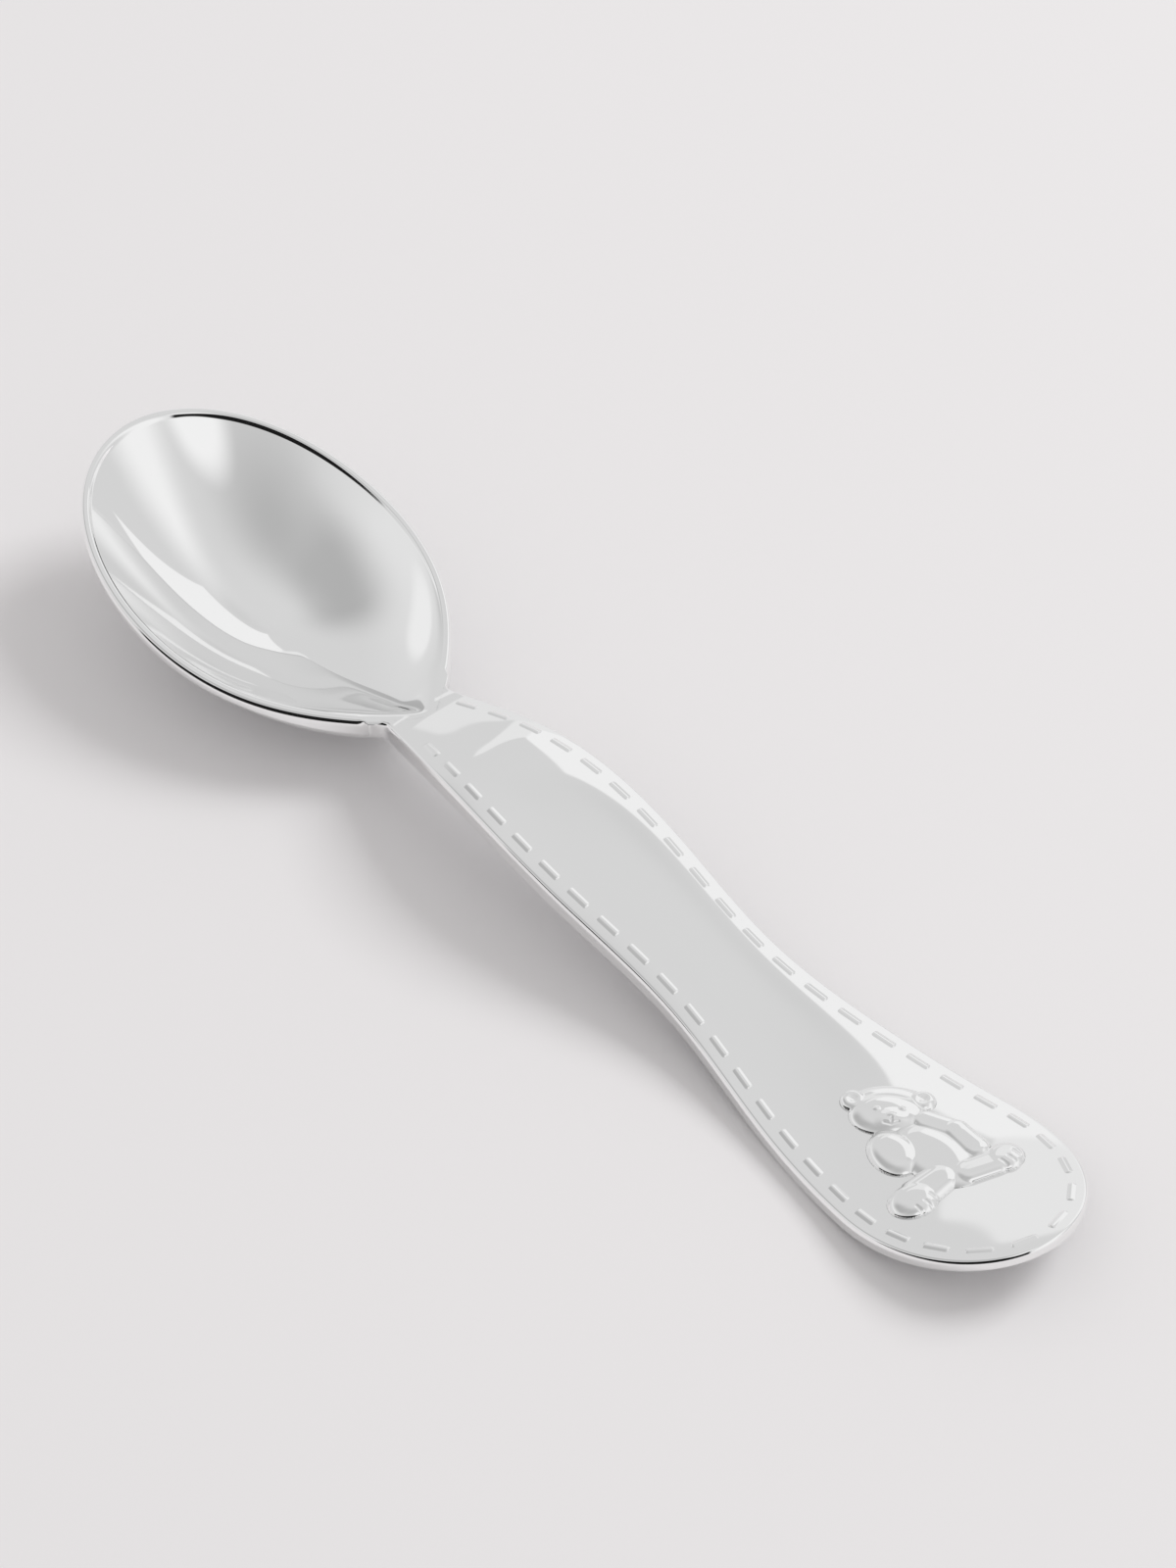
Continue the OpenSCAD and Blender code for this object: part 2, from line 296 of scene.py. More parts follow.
@dataclass(frozen=True)
class SpoonForm:
    """All sizes of the spoon in millimetres, with its height and width curves.

    A place on the spoon is given by s, the distance from the tip of the bowl, and w, the
    distance across from the middle line, positive to the far side.
    """

    spoon_l: float = 145.0
    # Outline of the bowl, and the nose that sits in the handle
    bowl_l: float = 48.7
    bowl_w: float = 32.9
    nose_l: float = 2.8
    egg_lean: float = 0.0657
    egg_pinch: float = 0.617
    egg_pinch_power: int = 7
    # The hollow, with the powers and shares of its curve to the sides and to the neck
    bowl_depth: float = 9.5
    bowl_wall: float = 0.86
    hollow_place: float = 0.453
    side_power: float = 2.3
    neck_power: float = 1.57
    neck_fade: float = 1.07
    neck_level: float = 0.09
    neck_level_power: int = 3
    neck_focus: float = 1.4
    # The rim: its heights, its level land, its upright outside and the lip inside it
    rim_tip_h: float = 15.6
    rim_middle_h: float = 10.5
    rim_neck_h: float = 7.5
    rim_land: float = 0.9
    rim_edge: float = 0.75
    rim_side_edge: float = 1.3
    rim_neck_edge: float = 2.3
    side_edge_l: float = 26.0
    neck_edge_l: float = 12.0
    bowl_edge_run: float = 0.88
    lip_h: float = 0.2
    lip_w: float = 0.34
    # The handle, with its widths and edge heights at even steps from the neck to the end
    widths: tuple[float, ...] = (8.2, 14.4, 15.7, 13.5, 18.9, 22.9, 25.8)
    heights: tuple[float, ...] = (7.5, 10.35, 8.25, 4.65, 2.0, 2.45, 6.6)
    round_l: float = 18.5
    neck_t: float = 2.4
    end_t: float = 1.5
    crown: float = 0.6
    crown_power: float = 3.2
    crown_fade_l: float = 14.0
    edge_round: float = 0.35
    handle_edge_run: float = 0.66
    stitch_inset: float = 1.65
    # The tongue on the back of the bowl
    heel_l: float = 9.0
    heel_t: float = 1.0
    heel_tip_t: float = 0.35
    heel_fade: float = 0.3
    # Where bowl and handle meet: rounding and reach of the valley and of the corners
    valley_blend: float = 0.9
    valley_l: float = 10.0
    corner_start: float = 1.3
    corner_blend: float = 1.1
    corner_l: float = 6.0
    # Quarter turn past which the end's outline is taken as steep, and the table's length
    steep_turn: float = 0.9
    table_points: int = 1200

    @property
    def egg_l(self) -> float:
        """Length of the bowl with the nose that sits in the handle."""
        return self.bowl_l + self.nose_l

    @property
    def hollow_s(self) -> float:
        """Where the bowl is deepest."""
        return self.egg_l * self.hollow_place

    @property
    def handle_l(self) -> float:
        """Length of the handle from the corners at the neck."""
        return self.spoon_l - self.bowl_l

    @property
    def straight_s(self) -> float:
        """Where the rounding of the handle's end begins."""
        return self.spoon_l - self.round_l

    @property
    def seam_s(self) -> float:
        """Where the sides of the handle leave the outline of the bowl."""
        return self.bowl_l - self.corner_start

    @property
    def seam_half(self) -> float:
        """Half width of the bowl's outline at the seam's ends."""
        return float(self.egg_half(np.array(self.seam_s)))

    @property
    def seam_turn(self) -> float:
        """Turn of the bowl's outline at the seam's far end."""
        return float(self.egg_turn(np.array(self.seam_s)))

    def egg(self, turn: Array) -> tuple[Array, Array]:
        """Outline of the bowl for turns from the tip (0) by the far side to the nose (pi).

        s = L (1 - cos t) / 2, and w is half the width times sin t, leaning to the tip by
        a share of cos t and drawn in at the nose by a high power of (1 - cos t) / 2.

        Args:
            turn: Turns in radians.

        Returns:
            s and w of each point.
        """
        back = (1 - np.cos(turn)) / 2
        pinch = self.egg_pinch * back**self.egg_pinch_power
        w = self.bowl_w / 2 * np.sin(turn) * (1 + self.egg_lean * np.cos(turn) - pinch)
        return self.egg_l * back, w

    def egg_turn(self, s: Array) -> Array:
        """Turn of the outline's far side at s, the inverse of s = L (1 - cos t) / 2."""
        return np.arccos(np.clip(1 - 2 * s / self.egg_l, -1.0, 1.0))

    def egg_half(self, s: Array) -> Array:
        """Half width of the bowl's outline at s."""
        return self.egg(self.egg_turn(s))[1]

    def rim_height(self, s: Array) -> Array:
        """Height of the rim, and of the handle's edge past the neck.

        The rim is a parabola through its heights at tip, middle and neck. The handle's edge
        is a cubic curve through its seven heights. The two meet in a rounded valley.

        Args:
            s: Places along the spoon.

        Returns:
            Heights above the table.
        """
        u = s / self.bowl_l
        rim = (
            self.rim_tip_h * (1 - u) * (1 - 2 * u)
            + 4 * self.rim_middle_h * u * (1 - u)
            + self.rim_neck_h * u * (2 * u - 1)
        )
        slope = (self.rim_tip_h - 4 * self.rim_middle_h + 3 * self.rim_neck_h) / self.bowl_l
        rim = np.where(u < 1, rim, self.rim_neck_h + slope * (s - self.bowl_l))
        edge = curve_through(self.heights, (s - self.bowl_l) / self.handle_l)
        near = np.abs(s - self.bowl_l) < self.valley_l
        plain = np.where(u < 1, rim, edge)
        return np.where(near, higher_of(rim, edge, self.valley_blend), plain)

    def edge_height(self, s: Array) -> Array:
        """Height of the rim's upright outside, which grows along the sides and at the neck.

        Args:
            s: Places of the outline along the spoon.

        Returns:
            Heights of the outside.
        """
        side = ease(s / self.side_edge_l)
        neck = ease((s - self.seam_s) / self.neck_edge_l + 1)
        low = self.rim_edge + (self.rim_side_edge - self.rim_edge) * side
        return low + (self.rim_neck_edge - self.rim_side_edge) * neck

    def neckward(self, turn: Array) -> Array:
        """How far a turn looks to the neck: ((1 - cos t) / 2)^1.4."""
        return ((1 - np.cos(turn)) / 2) ** self.neck_focus

    def hollow(self, r: Array, turn: Array) -> Array:
        """Share of the full depth at a share r of the way from the deepest place to the rim.

        A curve u = 1 less a power of r, near a parabola. Towards the neck it goes over into
        u^2 (1 + k) / (u + k), raised to a power a little above 1, so that the hollow runs
        out level there. Past the rim it goes straight on.

        Args:
            r: Shares of the way out.
            turn: Turns in radians.

        Returns:
            Shares of the depth.
        """
        neck = self.neckward(turn)
        plain = 1 - r ** (self.side_power + (self.neck_power - self.side_power) * neck)
        u, k = np.maximum(plain, 0), self.neck_level * neck**self.neck_level_power
        inside = (u * u * (1 + k) / np.maximum(u + k, TINY)) ** (1 + (self.neck_fade - 1) * neck)
        return np.where(plain > 0, inside, plain * (1 - neck))

    def end_share(self, s: Array) -> Array:
        """Share of the rounded end that lies behind s."""
        return np.maximum(0.0, (s - self.straight_s) / self.round_l)

    def straight_half(self, s: Array) -> Array:
        """Half width of the handle before its end is rounded."""
        return curve_through(self.widths, (s - self.bowl_l) / self.handle_l) / 2

    def half_width(self, s: Array) -> Array:
        """Half width of the handle, rounded at its end and joined to the bowl in a fillet.

        The rounded end is an ellipse: the straight half width times sqrt(1 - e^2), where e is
        the share of the end that lies behind s.

        Args:
            s: Places along the spoon.

        Returns:
            Half widths.
        """
        half = self.straight_half(s) * np.sqrt(np.maximum(0.0, 1 - self.end_share(s) ** 2))
        near = s < self.bowl_l + self.corner_l
        return np.where(near, higher_of(half, self.egg_half(s), self.corner_blend), half)

    def round_the_end(self, side: Array, turns: int) -> tuple[Array, Array]:
        """Carries places along the straight part on round the end, in equal turns.

        Args:
            side: Places along the straight part, up to where the rounding begins.
            turns: Number of turns from there to the end, both counted.

        Returns:
            s of all the places, and the quarter turn round the end of each.
        """
        turn = np.linspace(0, np.pi / 2, turns)[1:]
        end = self.straight_s + self.round_l * np.sin(turn)
        return np.concatenate([side, end]), np.concatenate([np.zeros_like(side), turn])

    def inward(self, s: Array, turn: Array, inset: Array | float) -> tuple[Array, Array]:
        """Places at a distance inward from the handle's far outline, square to it.

        The outline's slope comes from its half width a little to each side. Near the end,
        where it grows too steep for that, it is -atan(k tan t) for an ellipse, with the
        quarter turn t and the ratio k of the ellipse's half axes.

        Args:
            s: Places along the spoon.
            turn: Quarter turn round the end, 0 on the straight part.
            inset: Distances inward.

        Returns:
            s and distance from the middle line of each place.
        """
        step = 1e-3
        slope = (self.half_width(s + step) - self.half_width(s - step)) / (2 * step)
        k = self.straight_half(s) / self.round_l
        steep = -np.arctan2(k * np.sin(turn), np.cos(turn))
        lean = np.where(turn > self.steep_turn, steep, np.arctan(slope))
        return s + inset * np.sin(lean), self.half_width(s) - inset * np.cos(lean)

    def face_height(self, s: Array, w: Array) -> Array:
        """Height of the handle's top face.

        The edge's height plus a crown of 1 - d^3.2, where d is the distance from the middle
        line as a share of the way to the outline. The crown fades in behind the neck.

        Args:
            s: Places along the spoon.
            w: Places across it.

        Returns:
            Heights above the table.
        """
        across = w / np.maximum(self.straight_half(s), TINY)
        out = np.clip(np.hypot(across, self.end_share(s)), 0.0, 1.0)
        rise = self.crown * ease((s - self.bowl_l) / self.crown_fade_l)
        return self.rim_height(s) + rise * (1 - out**self.crown_power)

    def face_normal(self, s: Array, w: Array) -> Array:
        """Normal of the top face, from its height a little to each side.

        Args:
            s: Places along the spoon.
            w: Places across it.

        Returns:
            One unit vector for each place.
        """
        step = 0.02
        ds = (self.face_height(s + step, w) - self.face_height(s - step, w)) / (2 * step)
        dw = (self.face_height(s, w + step) - self.face_height(s, w - step)) / (2 * step)
        n = np.stack([-ds, -dw, np.ones_like(ds)], axis=-1)
        return n / np.linalg.norm(n, axis=-1, keepdims=True)

    def shade_as_face(self, piece: bpy.types.Object, points: Array, rows: Numbers) -> None:
        """Gives some points of a piece the face's exact normals, and keeps those of the others.

        Bowl and handle are two meshes, and shade as one surface where they meet only if both
        have the same normals there.

        Args:
            piece: The piece.
            points: All its points in millimetres.
            rows: Numbers of the points that lie on the top face.
        """
        mesh = piece.data
        normals = np.zeros(len(mesh.vertices) * 3, dtype=np.float32)
        mesh.vertex_normals.foreach_get("vector", normals)
        normals = normals.reshape(-1, 3)
        normals[rows] = self.face_normal(points[rows, 0] + self.spoon_l / 2, points[rows, 1])
        mesh.normals_split_custom_set_from_vertices(normals)

    def way_out(self, s: Array, w: Array) -> tuple[Array, Array, Array]:
        """The bowl's outline behind a place, seen from the deepest place.

        The turn is read off a table of the directions in which the outline's points lie.

        Args:
            s: Places along the spoon.
            w: Places across it.

        Returns:
            Turn of the outline's point, its s, and the distance to it.
        """
        table = np.linspace(np.pi, 0, self.table_points)
        es, ew = self.egg(table)
        ways = np.arctan2(ew, es - self.hollow_s)
        turn = np.interp(np.arctan2(np.abs(w), s - self.hollow_s), ways, table)
        es, ew = self.egg(turn)
        return turn, es, np.hypot(es - self.hollow_s, ew)

    def back_height(self, s: Array, w: Array) -> tuple[Array, Array]:
        """Height of the back of the bowl above the table at any place under it.

        The rim's height, less its upright outside and less the depth times the hollow.

        Args:
            s: Places along the spoon.
            w: Places across it.

        Returns:
            Heights above the table, and the share of the way out to the bowl's outline.
        """
        turn, es, reach = self.way_out(s, w)
        out = np.minimum(np.hypot(s - self.hollow_s, w) / reach, 1)
        edge = self.edge_height(es)
        depth = self.bowl_depth + self.bowl_wall - edge
        return self.rim_height(s) - edge - depth * self.hollow(out, turn), out

    def under_height(self, s: Array, w: Array) -> Array:
        """Height of the handle's underside, which turns into a tongue on the bowl's back.

        The tongue's thickness and the rounded corner before it run out at the bowl's outline.

        Args:
            s: Places along the spoon.
            w: Places across it.

        Returns:
            Heights above the table.
        """
        share = np.maximum(0.0, (s - self.bowl_l) / self.handle_l)
        thick = self.neck_t + (self.end_t - self.neck_t) * share
        plain = self.rim_height(np.maximum(s, self.bowl_l)) - thick
        lap = self.heel_tip_t + (self.heel_t - self.heel_tip_t) * ease(
            (s - self.bowl_l + self.heel_l) / self.heel_l
        )
        back, out = self.back_height(s, w)
        fade = ease((1 - out) / self.heel_fade)
        return np.where(s > self.egg_l, plain, lower_of(plain, back - lap * fade, fade))

    def placed(self, s: Array, w: Array, z: Array) -> Array:
        """Points in the spoon's frame, whose origin lies under the middle of its length."""
        s, w, z = np.broadcast_arrays(s, w, z)
        return np.stack([s - self.spoon_l / 2, w, z], axis=-1)


# ---------------------------------------------------------------------------
# Bowl
# ---------------------------------------------------------------------------


@dataclass
class Bowl:
    """The bowl: a thin egg shaped shell with a narrow land along its rim."""

    form: SpoonForm
    # Turns and rings of the mesh, from the lowest place over the rim to the deepest place
    turns: int = 320
    nose_turns: int = 29
    back_rings: int = 46
    first_back_ring: float = 0.02
    outside_rings: tuple[float, ...] = (0.35, 0.7)
    edge_rings: int = 18
    land_rings: int = 26
    land_past: float = 0.9
    inner_rings: int = 62
    last_inner_ring: float = 0.012
    inner_crowding: float = 0.9
    # What is left of the worn edge at the seam, and how soon
    seam_fade: float = 0.5
    seam_edge_run: float = 0.003
    # Where the lip fades inward, and how round the land's inner edge is
    lip_fade: float = 0.7
    land_blend: float = 0.2
    neck_blend: float = 0.004

    def turn_angles(self) -> Array:
        """Even turns round the bowl, with two of them exactly at the ends of the seam.

        Returns:
            Turns in radians, from the tip by the far side.
        """
        corner, full = self.form.seam_turn, 2 * np.pi
        side = (self.turns - self.nose_turns) // 2
        far = np.linspace(0, corner, side, endpoint=False)
        nose = np.linspace(corner, full - corner, self.nose_turns, endpoint=False)
        near = np.linspace(full - corner, full, side, endpoint=False)
        return np.concatenate([far, nose, near])

    def edge_run(self, s: Array) -> Array:
        """Length of the rim's worn edge, which runs out where the handle takes over."""
        outside = ease((self.form.seam_s - s) / self.seam_fade)
        return self.seam_edge_run + (self.form.bowl_edge_run - self.seam_edge_run) * outside

    def rings(self) -> Array:
        """All rings of the shell from its lowest place over the rim to the deepest place.

        On the back a ring lies at a share r of the way out, and its height is the rim's less
        the depth times the hollow. A worn edge leads from the upright outside to the land.
        Inside, the lower of the land and the hollow is taken, with a rounded corner.

        Returns:
            Points by ring and turn.
        """
        form = self.form
        turn = self.turn_angles()
        es, ew = form.egg(turn)
        rs, rw = es - form.hollow_s, ew
        reach = np.hypot(rs, rw)
        edge = form.edge_height(es)
        depth = form.bowl_depth + form.bowl_wall - edge
        run = self.edge_run(es)
        insets, drops = worn_edge(self.edge_rings)
        edge_inset, edge_drop = run * insets[-1], run * drops[0]
        made = []
        for r in np.sin(np.linspace(self.first_back_ring, 1, self.back_rings) * np.pi / 2):
            s, w = form.hollow_s + rs * r, rw * r
            z = form.rim_height(s) - edge - depth * form.hollow(r, turn)
            made.append(form.placed(s, w, z))
        for share in self.outside_rings:
            low = edge * (1 - share) + edge_drop * share
            made.append(form.placed(es, ew, form.rim_height(es) - low))
        for inset, drop in zip(insets, drops):
            k = (reach - run * inset) / reach
            s, w = form.hollow_s + rs * k, rw * k
            made.append(form.placed(s, w, form.face_height(s, w) - run * drop))
        land_end = form.rim_land + self.land_past
        for share in np.linspace(0, 1, self.land_rings)[1:]:
            way = reach - edge_inset - (land_end - edge_inset) * share
            made.append(self.top_ring(turn, rs, rw, way))
        inner = np.linspace(1, self.last_inner_ring, self.inner_rings)[1:]
        for share in inner**self.inner_crowding:
            made.append(self.top_ring(turn, rs, rw, (reach - land_end) * share))
        return np.array(made)

    def top_ring(self, turn: Array, rs: Array, rw: Array, way: Array) -> Array:
        """One ring of the land or of the hollow.

        Its height is the lower of the land's and of a wall, with a rounded corner. The wall
        lies below the land by the depth times the hollow and by a small lip, which fades out
        towards the neck and towards the deepest place.

        Args:
            turn: Turns in radians.
            rs: Way from the deepest place to the outline, along.
            rw: Way from the deepest place to the outline, across.
            way: Distance of the ring from the deepest place.

        Returns:
            The points of the ring.
        """
        form = self.form
        reach = np.hypot(rs, rw)
        k, r = way / reach, way / (reach - form.rim_land)
        s, w = form.hollow_s + rs * k, rw * k
        land = form.face_height(s, w)
        away = 1 - form.neckward(turn)
        lip = form.lip_h * away * ease((1 - r) * reach / form.lip_w) * ease(r / self.lip_fade)
        wall = land - form.bowl_depth * form.hollow(r, turn) - lip
        return form.placed(s, w, lower_of(land, wall, self.neck_blend + self.land_blend * away**2))

    def build(self) -> bpy.types.Object:
        """Makes the bowl's mesh and closes it at its two poles.

        Returns:
            The bowl.
        """
        form = self.form
        rings = self.rings()
        count, n = rings.shape[:2]
        rim = float(form.rim_height(np.array(form.hollow_s)))
        low = form.placed(form.hollow_s, 0.0, rim - form.bowl_depth - form.bowl_wall)
        deep = form.placed(form.hollow_s, 0.0, rim - form.bowl_depth)
        points = np.concatenate([rings.reshape(-1, 3), [low, deep]])
        low_cap = fan_faces(count * n, 0, n, True)
        deep_cap = fan_faces(count * n + 1, (count - 1) * n, n, False)
        caps = np.concatenate([low_cap, deep_cap])
        piece = make_piece("bowl_shell", points, ring_faces(count, n), caps)
        close = 1e-6
        seam = np.nonzero(form.egg(self.turn_angles())[0] >= form.seam_s - close)[0]
        edges = self.back_rings + len(self.outside_rings) + np.arange(self.edge_rings)
        form.shade_as_face(piece, points, (edges[:, None] * n + seam[None, :]).ravel())
        return piece


# ---------------------------------------------------------------------------
# Handle
# ---------------------------------------------------------------------------


@dataclass
class Handle:
    """The handle: a crowned plate with a rounded end and a tongue under the bowl."""

    form: SpoonForm
    # Points round a section, and sections along the plate and the tongue
    columns: int = 60
    column_spread: float = 0.4 * math.pi
    edge_columns: int = 14
    side_columns: tuple[float, ...] = (0.33, 0.67)
    bottom_columns: int = 6
    under_columns: int = 22
    side_stations: int = 210
    side_crowding: float = 0.45
    end_stations: int = 70
    tongue_stations: int = 26
    # Quarter turns between which the tongue's sections lie, and the point past the first
    tongue_turns: tuple[float, float] = (0.03, 0.99)
    point_l: float = 0.05
    # How far the tongue's top and borders reach into the bowl's wall
    tongue_sink: float = 0.1
    border_sink: float = 0.05
    border_power: int = 3
    # The rounding of the tongue's lower corners
    corner_from: float = 0.9
    corner_slope: float = 1.5
    corner_share: float = 0.4
    # The seat of the bowl's nose, and how far the sections behind it bend to follow it
    seat_depth: float = 0.5
    seat_gap: float = 0.03
    warp_l: float = 9.0
    nose_points: int = 400

    def stations(self) -> tuple[Array, Array]:
        """Places of the cross sections behind the corners at the neck.

        Returns:
            s of each section, and its quarter turn round the end.
        """
        form = self.form
        share = np.linspace(0, 1, self.side_stations)
        share = share * (1 - self.side_crowding + self.side_crowding * share)
        side = form.seam_s + (form.straight_s - form.seam_s) * share
        return form.round_the_end(side, self.end_stations)

    def section(self, s: Array, turn: Array) -> Array:
        """Cross sections round the top face, the far side, the underside and the near side.

        The top edge is worn, the bottom edge a quarter round, both measured inward from the
        outline, and the first sections behind the neck bend to follow the bowl's nose.

        Args:
            s: Place of each section.
            turn: Quarter turn round the end of each section.

        Returns:
            Points by section and place round it.
        """
        form = self.form
        s, turn = s[:, None], turn[:, None]
        worn = worn_edge(self.edge_columns)
        insets, drops = (form.handle_edge_run * part[None, ::-1] for part in worn)
        quarter = np.linspace(0, np.pi / 2, self.bottom_columns, endpoint=False)

        def at(inset: Array | float, side: float) -> tuple[Array, Array]:
            """Plan of points at a distance inward from one side of the outline."""
            along, half = form.inward(s, turn, inset)
            return along, side * np.maximum(half, 0.0)

        def border(side: float) -> Array:
            """Top edge, side wall and bottom edge of one side.

            Args:
                side: 1 for the far side, -1 for the near side.

            Returns:
                Points by section, from the top down.
            """
            a_s, a_w = at(insets[:, 1:], side)
            upper = form.placed(a_s, a_w, form.face_height(a_s, a_w) - drops[:, 1:])
            b_s, b_w = at(0.0, side)
            high = form.face_height(b_s, b_w) - drops[:, -1:]
            low = form.under_height(b_s, b_w) + form.edge_round
            wall = form.placed(b_s, b_w, high + (low - high) * np.array(self.side_columns))
            c_s, c_w = at(form.edge_round * (1 - np.cos(quarter)), side)
            foot = form.under_height(c_s, c_w) + form.edge_round * (1 - np.sin(quarter))
            return np.concatenate([upper, wall, form.placed(c_s, c_w, foot)], axis=1)

        top_s, top_w = at(insets[:, :1], 1.0)
        top_w = top_w * crowded(self.columns, self.column_spread)
        across = np.abs(top_w) / np.maximum(form.half_width(s), TINY)
        nose = self.nose_place(across * form.seam_half)
        bend = 1 - ease((s - form.seam_s) / self.warp_l)
        top_s = top_s + (nose - form.seam_s) * bend
        top = form.placed(top_s, top_w, form.face_height(top_s, top_w))

        low_s, low_w = at(form.edge_round, 1.0)
        low_w = low_w * np.linspace(1, -1, self.under_columns)
        under = form.placed(low_s, low_w, form.under_height(low_s, low_w))
        return np.concatenate([top, border(1.0), under, border(-1.0)[:, ::-1]], axis=1)

    def nose_place(self, across: Array) -> Array:
        """s of the bowl's nose at a distance across, read off its outline."""
        s, w = self.form.egg(np.linspace(self.form.seam_turn, np.pi, self.nose_points))
        return np.interp(across, w[::-1], s[::-1])

    def tongue(self, first: Array) -> Array:
        """Sections of the tongue in front of the neck, with their tops inside the bowl's wall.

        In plan the tongue is half an ellipse. Each section is the first one behind the
        corners drawn in to the ellipse's width. Its underside is the handle's, pressed up to
        the bowl's back at its borders by the cube of the share v of the way across. Its top
        lies a little below the middle of the bowl's wall, and its lower corners are rounded.

        Args:
            first: The first section behind the corners.

        Returns:
            Points by section and place round it.
        """
        form = self.form
        v = first[:, 1] / form.seam_half
        on_top = np.arange(len(first)) < self.columns
        climb = self.corner_slope * (first[:, 2] - first[~on_top, 2].min())
        corner = np.where(~on_top & (np.abs(v) > self.corner_from), np.clip(climb, 0, 1), 0.0)

        turn = np.linspace(*self.tongue_turns, self.tongue_stations)[:, None] * np.pi / 2
        tongue_l = form.seam_s - (form.bowl_l - form.heel_l)
        s = form.seam_s - tongue_l * np.cos(turn) + 0 * v
        half = form.seam_half * np.sin(turn)
        w = half * v
        back, _ = form.back_height(s, w)
        before = np.minimum(1, (form.seam_s - s) / form.corner_start)
        border = np.abs(v) ** self.border_power * before
        low = form.under_height(s, w)
        low = low + (back + self.border_sink - low) * np.clip(border, 0.0, 1.0)
        low = low + corner * np.minimum(form.edge_round, self.corner_share * half)

        look, _, far = form.way_out(s, w)
        out = np.minimum(np.hypot(s - form.hollow_s, w) / (far - form.rim_land), 1.0)
        inside = form.rim_height(s) - form.bowl_depth * form.hollow(out, look)
        return form.placed(s, w, np.where(on_top, (inside + back) / 2 - self.tongue_sink, low))

    def build(self) -> bpy.types.Object:
        """Makes the handle's mesh, closed at the tongue's point and at the end.

        Between tongue and plate lies a seat: the first section, set down below the bowl's
        nose, which makes a wall that the nose lies against.

        Returns:
            The handle.
        """
        form = self.form
        body = self.section(*self.stations())
        tongue = self.tongue(body[0])
        seat = body[0].copy()
        seat[: self.columns, 2] -= self.seat_depth
        seat[self.columns :, 0] -= self.seat_gap
        rings = np.concatenate([tongue, seat[None], body])
        count, n = rings.shape[:2]
        tip = rings[0].mean(axis=0) - [self.point_l, 0, 0]
        points = np.concatenate([rings.reshape(-1, 3), [tip]])
        cap = fan_faces(count * n, 0, n, True)
        points, quads, triangles, number = weld(points, ring_faces(count, n), cap)
        piece = make_piece("handle_plate", points, quads, triangles)
        rows = number[(len(tongue) + 1) * n + np.arange(self.columns)]
        form.shade_as_face(piece, points, rows)
        return piece


# ---------------------------------------------------------------------------
# Stitched border
# ---------------------------------------------------------------------------


